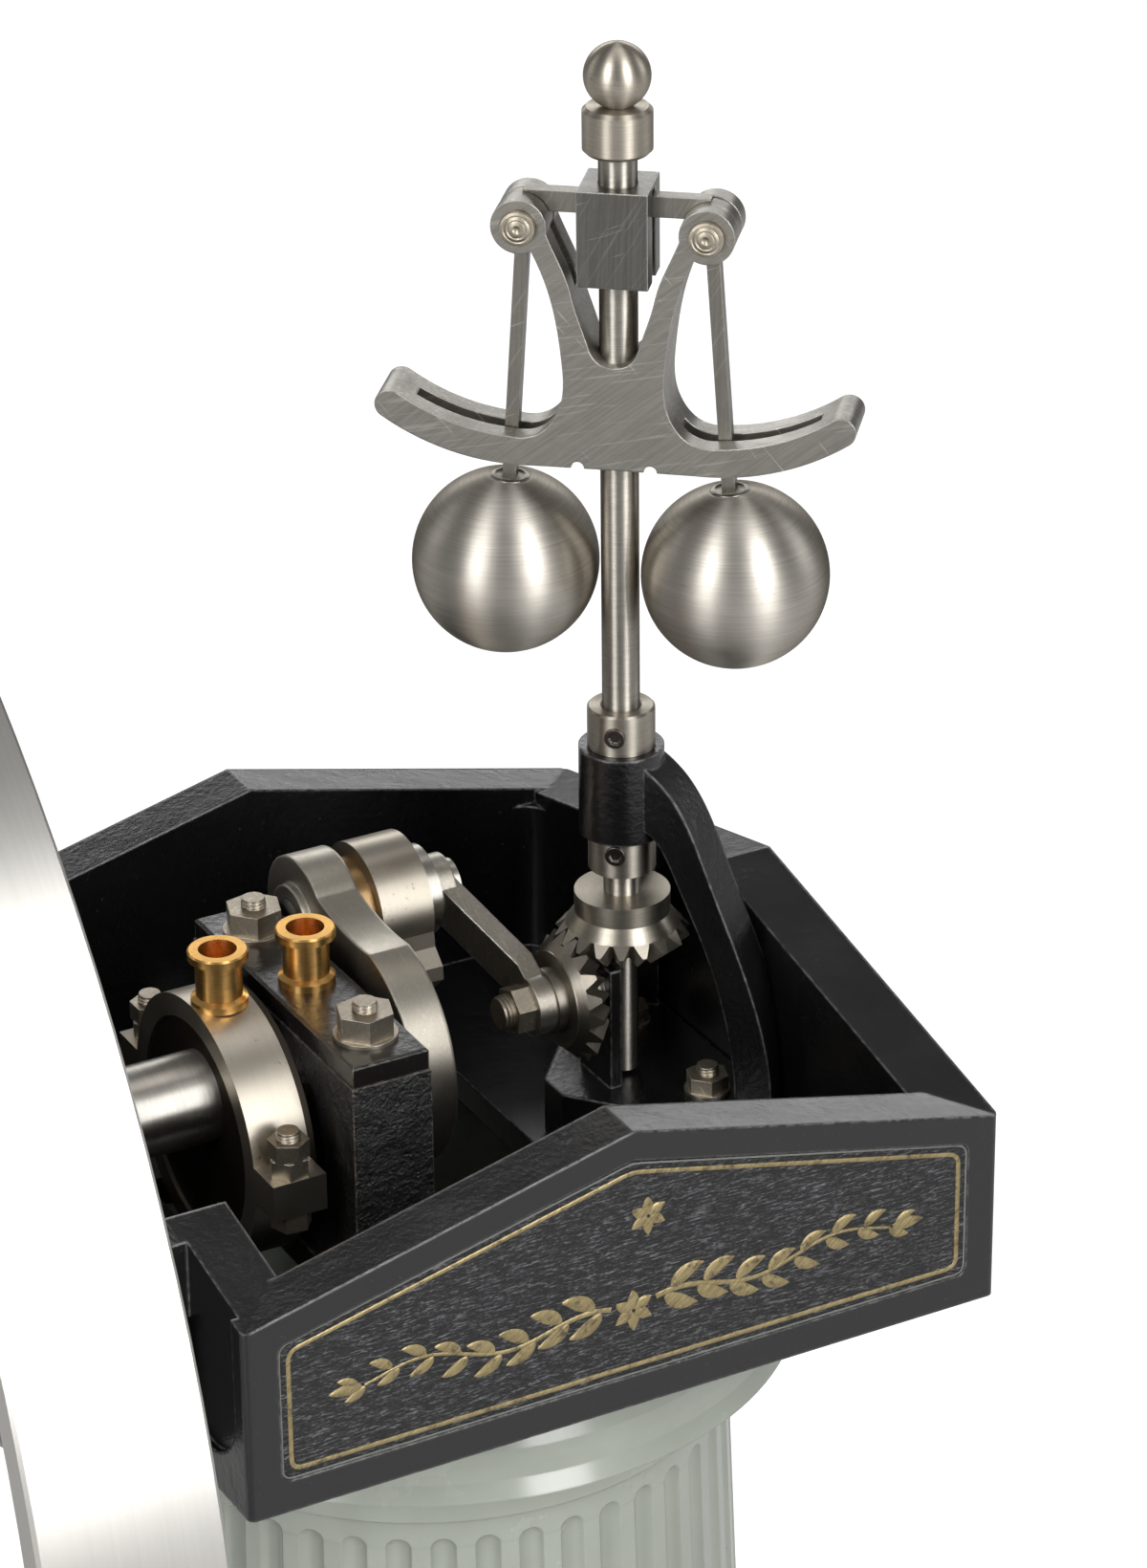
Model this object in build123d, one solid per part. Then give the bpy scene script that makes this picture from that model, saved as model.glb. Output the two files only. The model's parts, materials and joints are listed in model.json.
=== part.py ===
from build123d import *
import math
import os

# Stationary engine on a fluted column, all lengths in millimetres.
# Working frame: x from the flywheel end of the trough, y from its front,
# z from its underside. The finished parts are moved so that the ground
# point under the column axis is the origin, with +Z up.

# Trough that carries the crankshaft
TROUGH_LENGTH = 100.0
TROUGH_WIDTH = 108.0
CORNER_HEIGHT = 24.9
PEAK_HEIGHT = 37.0
WALL = 7.0
WHEEL_WALL = 7.9
FAR_WALL = 8.4
FLOOR = 4.0
INNER_CORNER = 3.5
OUTER_CORNER = 1.0
PANEL_DEPTH = 1.0
PANEL_MARGIN = 4.3
PANEL_BOTTOM = 4.2
PANEL_TOP = 22.1
PANEL_CORNER = 1.2
PLATE_THICK = 0.8
PLATE_GAP = 0.25
ROD_SLOT_REACH = 15.0
ROD_SLOT_GAP = 1.2

# Bay of the trough beside the flywheel, which carries the outer bearing
BAY_REACH = 18.0
BAY_INSET = 16.2
BAY_HALF = TROUGH_WIDTH / 2 - BAY_INSET
BAY_CHEEK = 4.4
BAY_ROUND = 3.5
SEAT_Z = 12.0
SIDE_PANEL_MARGIN = 3.0
SIDE_PANEL_BOTTOM = 4.6
SIDE_PANEL_ROUND = 8.0
SIDE_PANEL_DEPTH = 0.9

# Column under the trough
COLUMN_HEIGHT = 240.0
PLINTH_SIDE = 116.0
PLINTH_HEIGHT = 18.0
PLINTH_CHAMFER = 2.0
BASE_HEIGHT = 26.0
BASE_TORUS_R = 55.0
BASE_LEDGE = 3.0
CAPITAL_HEIGHT = 22.0
CAPITAL_R = 46.9
CAPITAL_EDGE = 14.4
CAPITAL_BAND = 2.4
CAPITAL_TOP_R = 40.3
CAPITAL_NECK = 2.4
BULGE_STEPS = 8
NECK_R = 38.2
FOOT_R = 44.0
BASE_TORUS_SHARE = 0.62
CAPITAL_LIP = 0.9
CAPITAL_LEDGE = 2.2
BORE_R = 35.2
FLUTES = 44
FLUTE_WIDTH = 3.3
FLUTE_TOOL_R = 1.9
FLUTE_END_GAP = 2.6

# Crankshaft line, with its stations measured from the middle of the trough
AXIS_X = TROUGH_LENGTH / 2
AXIS_Y = TROUGH_WIDTH / 2
AXIS_Z = 23.5
SHAFT_R = 5.75
RUNNING_FIT = 0.04
SIDE_PLAY = 0.15
CRANK_THROW = 20.0
CRANK_ANGLE = 31.0
WEB_FROM_CENTRE = 8.0
WEB_START = AXIS_X - WEB_FROM_CENTRE
WEB_THICK = 5.5
WEB_END = WEB_START + WEB_THICK
WEB_BIG_R = 15.0
WEB_SMALL_R = 8.3
WEB_BIG_ANGLE = 70.0
WEB_SMALL_ANGLE = 105.0
WEB_WAIST = 10.3
WEB_BOSS_R = 7.6
WEB_BOSS = 1.0
PIN_BOSS_R = 4.8

# Bearings
BLOCK_HALF = 22.0
BLOCK_WIDTH = 10.5
BLOCK_FROM_CENTRE = 20.0
INNER_BLOCK_X = AXIS_X - BLOCK_FROM_CENTRE
BLOCK_TOP = 32.2
CAP_TOP = 35.0
CAP_WIDTH = 10.1
CAP_BEVEL = 0.3
BUSH_WALL = 2.0
BUSH_R = SHAFT_R + BUSH_WALL
BUSH_IN = 0.1
STUD_FROM_AXIS = 15.2
STUD_R = 1.35
NUT_ACROSS_FLATS = 6.3
NUT_HEIGHT = 3.0
WASHER_R = 3.9
WASHER_HEIGHT = 0.5
STUD_PROUD = 1.0
NUT_TURN = 12.0
CROWN_SHARE = 0.14

# Oil cups
CUP_HEIGHT = 7.3
CUP_TOP_R = 3.7
CUP_BODY_R = 2.85
CUP_FOOT_R = 3.5
CUP_BORE_R = 2.35
CUP_FLANGE = 1.1
CUP_LIP = 0.2
CUP_DEPTH = 4.7
CUP_OFFSET = 0.6
CUP_SINK = 0.3

# Flywheel
WHEEL_R = 128.8
WHEEL_START = -54.2
WHEEL_END = -34.8
RIM_THICK = 4.3
HUB_R = 15.0
HUB_START = -60.0
HUB_END = -30.0
SHAFT_PROUD = 1.5
RIM_BEVEL = 0.4
SPOKES = 6
SPOKE_SIDES = 14
SPOKE_ROOT = 2.0
SPOKE_PHASE = 162.5
SPOKE_HUB_WIDE = 12.0
SPOKE_HUB_THICK = 7.0
SPOKE_RIM_WIDE = 9.0
SPOKE_RIM_THICK = 5.0

# Eccentric and its strap
STRAP_FROM_CENTRE = 30.0
STRAP_START = AXIS_X - STRAP_FROM_CENTRE
STRAP_WIDTH = 7.4
STRAP_END = STRAP_START + STRAP_WIDTH
STRAP_MID = STRAP_START + STRAP_WIDTH / 2
ECCENTRIC_THROW = 5.3
ECCENTRIC_ANGLE = -73.6
SHEAVE_R = 13.9
SHEAVE_SET_BACK = 0.5
FLANGE_GAP = 0.1
SHEAVE_FLANGE = 0.9
FLANGE_SHORT = 0.5
STRAP_WALL = 2.9
STRAP_R = SHEAVE_R + STRAP_WALL
STRAP_FIT = 0.06
LUG_REACH = 21.9
LUG_HEIGHT = 2.4
LUG_SIDE = 0.4
LUG_SPLIT = 0.2
LUG_STUD_Y = 19.5
LUG_STUD_R = 1.25
LUG_NUT_FLATS = 4.4
LUG_NUT_HEIGHT = 2.3
LUG_NUT_TURNS = (8.0, 32.0)
ECC_ROD_LENGTH = 74.0
ECC_ROD_R = 2.4
ECC_ROD_TAPER = 0.6
ROD_EYE_R = 4.2
ROD_EYE_BORE = 1.6
ROD_EYE_HALF = 3.0

# Connecting rod
BIG_END_GAP = 1.5
BIG_END_START = WEB_END + BIG_END_GAP
BIG_END_WIDTH = 8.0
BIG_END_END = BIG_END_START + BIG_END_WIDTH
BIG_END_FLANGE = 1.0
BIG_END_R = 8.2
PIN_R = 3.0
BIG_END_BUSH_R = 4.6
BUSH_FLANGE_R = 6.4
COLLAR_WIDTH = 2.35
COLLAR_START = BIG_END_END + SIDE_PLAY
COLLAR_END = COLLAR_START + COLLAR_WIDTH
COLLAR_R = 5.8
ROD_LENGTH = 100.0
ROD_FOOT_OFFSET = 8.0
ROD_TOP_R = 3.6
ROD_LOW_R = 2.9
PALM_HALF = 9.6
PALM_TOP = 6.6
PALM_BOTTOM = 8.4
PALM_UNDER = 11.4
PALM_UNDER_HALF = 5.6
PALM_NECK_HALF = 7.8

# Opening in the floor for the rod, and the slot for the strap
OPENING_BEFORE = 1.4
OPENING_AFTER = 6.0
OPENING_BEYOND = 10.0
FLOOR_OPENING_START = WEB_START - OPENING_BEFORE
FLOOR_OPENING_END = COLLAR_END + OPENING_AFTER
FLOOR_OPENING_REACH = CRANK_THROW + OPENING_BEYOND

# Drive to the governor
SPINDLE_SHARE = 0.69
SPINDLE_X = AXIS_X + SPINDLE_SHARE * (TROUGH_LENGTH - FAR_WALL - AXIS_X)
GEAR_TEETH = 18
GEAR_PITCH_R = 7.9
GEAR_FACE = 3.7
GEAR_BACKLASH = 0.12
ADDENDUM = 0.92
DEDENDUM = 1.15
ROOT_SHARE = 1.66
TIP_SHARE = 0.42
GEAR_MOUNT = 13.7
GEAR_BACK = 9.8
WHEEL_HUB_R = 6.2
WHEEL_BOSS_R = 4.2
WHEEL_BACK_SLOPE = 1.0
PINION_BACK_SLOPE = 1.5
ARM_THICK = 2.5
ARM_HALF = 3.0
ARM_AXIS_X = SPINDLE_X - GEAR_MOUNT
ARM_PIN_GAP = 0.4
ARM_PIN_X = COLLAR_END + ARM_PIN_GAP
ARM_BOSS_R = 3.8
ARM_EYE_R = 4.0
ARM_STRAIGHT = 4.4
ARM_TOP_STRAIGHT = 1.4
ARM_BEND = 1.0
PIN_PROUD = 1.2
DRIVE_SHAFT_R = 2.0
SHAFT_END_GAP = 0.5
DRIVE_NUT_THICK = 2.5
DRIVE_NUT_FLATS = 5.5
DRIVE_NUT_TURN = 11.0
DRIVE_NUT_X = ARM_AXIS_X - DRIVE_NUT_THICK
DRIVE_TIP = 1.3
DRIVE_TIP_X = DRIVE_NUT_X - DRIVE_TIP
PINION_HUB_R = 6.0
PINION_HUB_HEIGHT = 13.1
PINION_TOP = AXIS_Z + PINION_HUB_HEIGHT

# Spindle and its bracket
SPINDLE_R = 2.325
SPINDLE_LOW_R = 1.95
SPINDLE_FOOT_Z = 11.6
FOOT_CLEAR = 0.4
LOWER_COLLAR_Z = 40.0
LOWER_COLLAR_HEIGHT = 4.95
UPPER_COLLAR_Z = 56.65
UPPER_COLLAR_HEIGHT = 5.35
COLLAR_OUT_R = 4.2
COLLAR_BEVEL = 0.25
BRACKET_BOSS_R = 5.3
BRACKET_BOSS_Z = 45.0
BRACKET_BOSS_TOP = 56.6
BRACKET_TOP = 11.0
BRACKET_GAP = 0.2
BRACKET_TIP = 10.1
BRACKET_TIP_X = SPINDLE_X - BRACKET_TIP
BRACKET_TIP_HALF = 2.3
BRACKET_CORNER = 3.9
BRACKET_CORNER_X = SPINDLE_X + BRACKET_CORNER
BRACKET_HALF = 19.0
BRACKET_NUT_BEYOND = 6.4
BRACKET_NUT_X = SPINDLE_X + BRACKET_NUT_BEYOND
BRACKET_NUT_Y = 10.2
BRACKET_NUT_FLATS = 4.8
BRACKET_NUT_HEIGHT = 2.0
BRACKET_STUD_R = 1.2
BRACKET_WASHER_R = 2.9
STEADY_BEFORE = 2.4
STEADY_FAR = SPINDLE_X - STEADY_BEFORE
STEADY_THICK = 1.6
STEADY_HALF = 4.0
STEADY_BUSH_WALL = 0.9
STEADY_BUSH_R = DRIVE_SHAFT_R + STEADY_BUSH_WALL
LEG_AZIMUTH = 55.0
LEG_HALF = 2.9
LEG_REACH = 21.8
LEG_FOOT_Z = 10.5
LEG_TOP_Z = 56.0

# Curves of a leg, as shares of its reach and of its rise
LEG_OUTER = [(0.138, 1.0), (0.367, 0.916), (0.596, 0.699), (0.807, 0.450), (0.955, 0.224), (1.0, 0.0)]
LEG_INNER = [(0.023, 0.802), (0.257, 0.780), (0.394, 0.670), (0.56, 0.495), (0.697, 0.297),
             (0.761, 0.121), (0.771, 0.0)]

# Governor
GOVERNOR_TURN = -39.5
FRAME_DEPTH = 7.8
ARM_SLOT = 2.3
PIVOT_X = 11.2
PIVOT_Z = 124.7
PIVOT_RING_R = 3.35
PIVOT_PIN_R = 1.5
EYE_SHORT = 0.1
PIN_HEAD_R = 2.05
PIN_HEAD = 0.7
FRAME_BOTTOM = 94.6
BITE_X = 4.4
BITE_R = 0.8
BALL_R = 11.4
BALL_X = 14.1
BALL_Z = 80.4
BALL_FLAT = 0.35
QUADRANT_IN_R = 26.6
QUADRANT_OUT_R = 30.2
QUADRANT_END = 34.4
QUADRANT_TIP = 3.6
QUADRANT_START = -3.0
SLOT_START = -8.0
SLOT_MARGIN = 4.5
SLOT_CLEAR = 8.0
WAIST_ANGLE = 3.0
EYE_INNER = 192.0
EYE_OUTER = -116.6

# Sides of the frame's horn, as shares of the pivot's reach and of its height over the foot
HORN_INNER = [(0.0, 0.432), (0.21, 0.468), (0.295, 0.545), (0.42, 0.688), (0.473, 0.767), (0.607, 0.890)]
HORN_OUTER = [(0.696, 0.744), (0.554, 0.445), (0.5625, 0.279), (0.732, 0.1595)]
BLOCK_X = 8.5
BLOCK_Y = 8.2
SLEEVE_FOOT = 117.7
SLEEVE_TOP = 129.6
SLEEVE_FIT = 0.05
POCKET_X = 2.9
POCKET_TOP = 129.1
LEG_Z = 127.1
LEG_HEIGHT = 2.6
LEG_THICK = 1.9
LEG_TIP_X = 3.75
BALL_LEG_HALF = 1.15
TOP_COLLAR_Z = 133.3
TOP_COLLAR_HEIGHT = 5.7
FINIAL_Z = 142.7
FINIAL_R = 4.0

# Placing of the trough frame over the ground point of the column axis
OFFSET = Vector(-AXIS_X, -AXIS_Y, COLUMN_HEIGHT)

os.makedirs("parts", exist_ok=True)


def save(name, shape):
    """Write one part, moved from the trough frame to the ground frame."""
    solids = shape.solids() if hasattr(shape, "solids") else list(shape)
    moved = [s.moved(Location(OFFSET)) for s in solids]
    body = moved[0] if len(moved) == 1 else Compound(children=moved)
    body.label = name
    export_step(body, os.path.join("parts", name + ".step"))
    print(name, len(moved), round(sum(s.volume for s in moved)))


def block(x0, x1, y0, y1, z0, z1):
    """Box between two opposite corners."""
    size = Box(x1 - x0, y1 - y0, z1 - z0)
    return Pos((x0 + x1) / 2, (y0 + y1) / 2, (z0 + z1) / 2) * size


def rod_x(x0, x1, radius, y=AXIS_Y, z=AXIS_Z):
    """Round bar along x between two stations."""
    bar = Rot(0, 90, 0) * Cylinder(radius, x1 - x0)
    return Pos((x0 + x1) / 2, y, z) * bar


def rod_z(z0, z1, radius, x, y):
    """Round bar along z between two heights."""
    return Pos(x, y, (z0 + z1) / 2) * Cylinder(radius, z1 - z0)


def hexagon_z(z0, z1, flats, x, y, turn):
    """Hexagonal bar along z, given across its flats, with a rounded crown."""
    corner = flats / math.sqrt(3)
    sketch = Rot(0, 0, turn) * RegularPolygon(corner, 6)
    bar = extrude(sketch, z1 - z0)
    rise = z1 - z0
    cut = corner * CROWN_SHARE
    crown = Cone(corner + rise, corner - cut, rise + cut,
                 align=(Align.CENTER, Align.CENTER, Align.MIN))
    return Pos(x, y, z0) * (bar & crown)


def profile_x(points, x0, x1):
    """Closed outline in (y, z), extruded along x."""
    face = Plane.YZ * make_face(Polyline(*points, close=True))
    return Pos(x0, 0, 0) * extrude(face, x1 - x0)


def profile_y(points, y0, y1):
    """Closed outline in (x, z), extruded along y."""
    face = Plane.XZ * make_face(Polyline(*points, close=True))
    return Pos(0, y1, 0) * extrude(face, y1 - y0)


def turned(points, x, y, z=0.0):
    """Closed outline in (radius, height) revolved about a vertical axis."""
    face = Plane.XZ * make_face(Polyline(*points, close=True))
    return Pos(x, y, z) * revolve(face, Axis.Z, 360)


# Trough: floor, four gabled walls and the bay beside the flywheel
def gable(length):
    """Outline of a wall with its peak at the middle."""
    return [(0, 0), (length, 0), (length, CORNER_HEIGHT), (length / 2, PEAK_HEIGHT), (0, CORNER_HEIGHT)]


def both_sides(piece):
    """A piece at the front together with its mirror image at the back."""
    return piece + mirror(piece, Plane.XZ.offset(-AXIS_Y))


def rounded_prism(x0, x1, half, z0, z1, radius):
    """Upright prism on the middle line, with rounded corners."""
    plan = RectangleRounded(x1 - x0, 2 * half, radius)
    return Pos((x0 + x1) / 2, AXIS_Y, z0) * extrude(plan, z1 - z0)


def trough():
    far = TROUGH_LENGTH - FAR_WALL
    half = TROUGH_WIDTH / 2
    slope = (PEAK_HEIGHT - CORNER_HEIGHT) / half
    cheek_top = CORNER_HEIGHT + slope * (half - BAY_HALF)
    top = PEAK_HEIGHT + 1
    bay_inside = -BAY_REACH + WHEEL_WALL
    body = block(0, TROUGH_LENGTH, 0, TROUGH_WIDTH, 0, CORNER_HEIGHT)
    body += block(-BAY_REACH, WHEEL_WALL, AXIS_Y - BAY_HALF, AXIS_Y + BAY_HALF, 0, cheek_top)
    body += both_sides(profile_y(gable(TROUGH_LENGTH), 0, WALL))
    body += profile_x(gable(TROUGH_WIDTH), far, TROUGH_LENGTH)
    body += profile_x(gable(TROUGH_WIDTH), 0, WHEEL_WALL)
    body -= rounded_prism(WHEEL_WALL, far, half - WALL, FLOOR, top, INNER_CORNER)
    body -= rounded_prism(bay_inside, AXIS_X, BAY_HALF - BAY_CHEEK, FLOOR, top, INNER_CORNER)
    body -= block(-BAY_REACH, WHEEL_WALL, AXIS_Y - BLOCK_HALF, AXIS_Y + BLOCK_HALF, SEAT_Z, top)
    hull = rounded_prism(0, TROUGH_LENGTH, half, 0, top, OUTER_CORNER)
    hull += rounded_prism(-BAY_REACH, AXIS_X, BAY_HALF, 0, top, BAY_ROUND)
    body &= hull
    body -= panel_recess(0.0, PANEL_DEPTH)
    body -= back_to_front(panel_recess(0.0, PANEL_DEPTH))
    body -= far_recess()
    body -= both_sides(wheel_side_recess())
    reach = FLOOR_OPENING_REACH
    body -= block(FLOOR_OPENING_START, FLOOR_OPENING_END,
                  AXIS_Y - reach, AXIS_Y + reach, -1, FLOOR + 1)
    body -= block(STRAP_START - ROD_SLOT_GAP, STRAP_END + SHEAVE_FLANGE + ROD_SLOT_GAP,
                  AXIS_Y - ROD_SLOT_REACH, AXIS_Y + ROD_SLOT_REACH, -1, FLOOR + 1)
    return body


def back_to_front(piece):
    """Mirror image of a piece about the middle line of the trough."""
    return mirror(piece, Plane.XZ.offset(-AXIS_Y))


def gabled_panel(length, inset):
    """Gabled outline of a recess, parallel to the wall above it."""
    slope = (PEAK_HEIGHT - CORNER_HEIGHT) / (length / 2)
    a = PANEL_MARGIN + inset
    low = PANEL_BOTTOM + inset
    high = PANEL_TOP - inset
    peak = high + slope * (length / 2 - a)
    points = [(a, low), (length - a, low), (length - a, high), (length / 2, peak), (a, high)]
    face = make_face(Polyline(*points, close=True))
    return fillet(face.vertices(), PANEL_CORNER)


def panel_recess(inset, depth):
    """Recess of the front wall down to a depth, or the plate that lies in it."""
    face = Plane.XZ * gabled_panel(TROUGH_LENGTH, inset)
    return Pos(0, depth, 0) * extrude(face, depth)


def far_recess():
    face = Plane.YZ * gabled_panel(TROUGH_WIDTH, 0.0)
    return Pos(TROUGH_LENGTH - PANEL_DEPTH, 0, 0) * extrude(face, PANEL_DEPTH)


def wheel_side_recess():
    """Recess of the wheel-side wall, open at its top, rounded at its low corner."""
    a = SIDE_PANEL_MARGIN
    low = SIDE_PANEL_BOTTOM
    r = SIDE_PANEL_ROUND
    cheek = AXIS_Y - BAY_HALF
    body = block(0, SIDE_PANEL_DEPTH, a, cheek, low + r, PEAK_HEIGHT)
    body += block(0, SIDE_PANEL_DEPTH, a + r, cheek, low, low + r)
    body += rod_x(0, SIDE_PANEL_DEPTH, r, a + r, low + r)
    return body


save("entablature_trough", trough())
plate = panel_recess(PLATE_GAP, PANEL_DEPTH) - panel_recess(0.0, PANEL_DEPTH - PLATE_THICK)
save("front_plate", plate)
save("back_plate", back_to_front(plate))


# Column: square plinth, moulded base, fluted shaft and capital
def plinth():
    half = PLINTH_SIDE / 2
    body = block(-half, half, -half, half, 0, PLINTH_HEIGHT)
    top = body.faces().sort_by(Axis.Z)[-1]
    return chamfer(top.edges(), PLINTH_CHAMFER)


def base_outline():
    """Ring moulding: a torus over the plinth and a ledge against the shaft."""
    torus = BASE_HEIGHT * BASE_TORUS_SHARE
    start = BASE_TORUS_R - BASE_LEDGE
    ledge = FOOT_R + BASE_LEDGE
    points = [(BORE_R, 0), (start, 0)]
    for i in range(1, BULGE_STEPS):
        angle = math.pi * i / BULGE_STEPS
        points.append((start + BASE_LEDGE * math.sin(angle), torus * (1 - math.cos(angle)) / 2))
    points += [(start, torus), (ledge, torus + BASE_LEDGE), (ledge, BASE_HEIGHT - BASE_LEDGE),
               (FOOT_R + 1, BASE_HEIGHT), (BORE_R, BASE_HEIGHT)]
    return points


def capital_outline():
    """Bulge that swells to a sharp edge, with the neck of the shaft under it."""
    swell = CAPITAL_R - CAPITAL_LIP
    drop = CAPITAL_EDGE - CAPITAL_BAND - CAPITAL_LEDGE
    points = [(BORE_R, 0), (CAPITAL_TOP_R, 0), (CAPITAL_TOP_R, -CAPITAL_LEDGE)]
    for i in range(1, BULGE_STEPS + 1):
        angle = math.pi / 2 * i / BULGE_STEPS
        r = CAPITAL_TOP_R + (swell - CAPITAL_TOP_R) * math.sin(angle)
        points.append((r, -CAPITAL_LEDGE - drop * (1 - math.cos(angle))))
    neck = NECK_R + CAPITAL_LIP
    under = CAPITAL_EDGE + CAPITAL_NECK
    points += [(CAPITAL_R, -CAPITAL_EDGE), (neck + 1, -under), (neck, -under - 1),
               (neck, -CAPITAL_HEIGHT), (BORE_R, -CAPITAL_HEIGHT)]
    return points


def shaft_radius(z):
    """Radius of the tapered shaft at a height over the ground."""
    low = PLINTH_HEIGHT + BASE_HEIGHT
    high = COLUMN_HEIGHT - CAPITAL_HEIGHT
    return FOOT_R + (NECK_R - FOOT_R) * (z - low) / (high - low)


def fluted_shaft():
    low = PLINTH_HEIGHT + BASE_HEIGHT
    high = COLUMN_HEIGHT - CAPITAL_HEIGHT
    body = turned([(BORE_R, low), (FOOT_R, low), (NECK_R, high), (BORE_R, high)], 0, 0, 0)
    depth = FLUTE_TOOL_R - math.sqrt(FLUTE_TOOL_R ** 2 - (FLUTE_WIDTH / 2) ** 2)
    out = FLUTE_TOOL_R - depth
    a = low + FLUTE_END_GAP + FLUTE_TOOL_R
    b = high - FLUTE_END_GAP - FLUTE_TOOL_R
    start = Vector(shaft_radius(a) + out, 0, a)
    end = Vector(shaft_radius(b) + out, 0, b)
    length = (end - start).length
    lean = math.degrees(math.atan2(start.X - end.X, end.Z - start.Z))
    tool = Cylinder(FLUTE_TOOL_R, length) + Pos(0, 0, length / 2) * Sphere(FLUTE_TOOL_R)
    tool += Pos(0, 0, -length / 2) * Sphere(FLUTE_TOOL_R)
    middle = (start + end) * 0.5
    tool = Pos(middle.X, 0, middle.Z) * Rot(0, -lean, 0) * tool
    cutters = [Rot(0, 0, 360.0 * i / FLUTES) * tool for i in range(FLUTES)]
    return body - cutters


ground = Pos(AXIS_X, AXIS_Y, -COLUMN_HEIGHT)
save("plinth", ground * plinth())
save("column_base", ground * turned(base_outline(), 0, 0, PLINTH_HEIGHT))
save("column_shaft", ground * fluted_shaft())
save("column_capital", ground * turned(capital_outline(), 0, 0, COLUMN_HEIGHT))


# Bearings
def nut_and_stud(x, y, z, flats, height, stud_r, washer_r):
    """Washer, nut and the stud end standing out of it, as one turned piece."""
    nut_foot = z + WASHER_HEIGHT
    nut_top = nut_foot + height
    body = rod_z(z, nut_foot, washer_r, x, y)
    body += hexagon_z(nut_foot, nut_top, flats, x, y, NUT_TURN)
    return body + rod_z(nut_foot, nut_top + STUD_PROUD, stud_r, x, y)


def oil_cup(x, y, z):
    """Turned cup with a flange at its foot and at its lip."""
    h = CUP_HEIGHT
    f = CUP_FLANGE
    lip = CUP_LIP
    points = [(0, 0), (CUP_FOOT_R, 0), (CUP_FOOT_R, f - lip), (CUP_BODY_R, f + lip),
              (CUP_BODY_R, h - f - 2 * lip), (CUP_TOP_R, h - f), (CUP_TOP_R, h - lip),
              (CUP_TOP_R - lip, h), (CUP_BORE_R, h), (CUP_BORE_R, h - CUP_DEPTH),
              (0, h - CUP_DEPTH - lip)]
    return turned(points, x, y, z)


def bearing_block(x0, seat_x, seat_z):
    """Upright block, standing on the floor from one station and on a seat before it."""
    x1 = x0 + BLOCK_WIDTH
    near = AXIS_Y - BLOCK_HALF
    far = AXIS_Y + BLOCK_HALF
    body = block(x0, x1, near, far, seat_z, BLOCK_TOP)
    body += block(seat_x, x1, near, far, FLOOR, BLOCK_TOP)
    return body - rod_x(x0 - 1, x1 + 1, BUSH_R)


def bearing_cap(x0):
    inset = (BLOCK_WIDTH - CAP_WIDTH) / 2
    body = block(x0 + inset, x0 + inset + CAP_WIDTH, AXIS_Y - BLOCK_HALF + inset,
                 AXIS_Y + BLOCK_HALF - inset, BLOCK_TOP, CAP_TOP)
    return chamfer(body.faces().sort_by(Axis.Z)[-1].edges(), CAP_BEVEL)


OUTER_BLOCK_X = -BAY_REACH
save("inner_bearing_block", bearing_block(INNER_BLOCK_X, INNER_BLOCK_X, FLOOR))
save("outer_bearing_block", bearing_block(OUTER_BLOCK_X, OUTER_BLOCK_X + WHEEL_WALL, SEAT_Z))
save("inner_bearing_cap", bearing_cap(INNER_BLOCK_X))
save("outer_bearing_cap", bearing_cap(OUTER_BLOCK_X))
bushes = []
nuts = []
cups = []
for start in (OUTER_BLOCK_X, INNER_BLOCK_X):
    middle = start + BLOCK_WIDTH / 2
    end = start + BLOCK_WIDTH
    bush = rod_x(start + BUSH_IN, end - BUSH_IN, BUSH_R)
    bushes.append((bush - rod_x(start, end, SHAFT_R + RUNNING_FIT)).solid())
    cups.append(oil_cup(middle, AXIS_Y + CUP_OFFSET, CAP_TOP).solid())
    for side in (-1, 1):
        nuts.append(nut_and_stud(middle, AXIS_Y + side * STUD_FROM_AXIS, CAP_TOP,
                                 NUT_ACROSS_FLATS, NUT_HEIGHT, STUD_R, WASHER_R).solid())
save("bearing_bushes", Compound(children=bushes))
save("bearing_nuts", Compound(children=nuts))
save("bearing_oil_cups", Compound(children=cups))


# Crankshaft and what turns with it
crank = math.radians(CRANK_ANGLE)
PIN_Y = AXIS_Y + CRANK_THROW * math.cos(crank)
PIN_Z = AXIS_Z + CRANK_THROW * math.sin(crank)
eccentric = math.radians(ECCENTRIC_ANGLE)
ECC_Y = AXIS_Y + ECCENTRIC_THROW * math.cos(eccentric)
ECC_Z = AXIS_Z + ECCENTRIC_THROW * math.sin(eccentric)
FELLOE_R = WHEEL_R - RIM_THICK

save("crankshaft", rod_x(HUB_START - SHAFT_PROUD, WEB_START, SHAFT_R))
rim = rod_x(WHEEL_START, WHEEL_END, WHEEL_R) - rod_x(WHEEL_START - 1, WHEEL_END + 1, FELLOE_R)
save("flywheel_rim", chamfer(rim.edges().filter_by(GeomType.CIRCLE), RIM_BEVEL))


def spoke_section(z, wide, thick):
    """Many-sided oval across a spoke, given by its width and thickness."""
    turns = [2 * math.pi * (i + 0.5) / SPOKE_SIDES for i in range(SPOKE_SIDES)]
    points = [Vector(thick / 2 * math.cos(t), wide / 2 * math.sin(t), z) for t in turns]
    return Wire.make_polygon(points, close=True)


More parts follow.
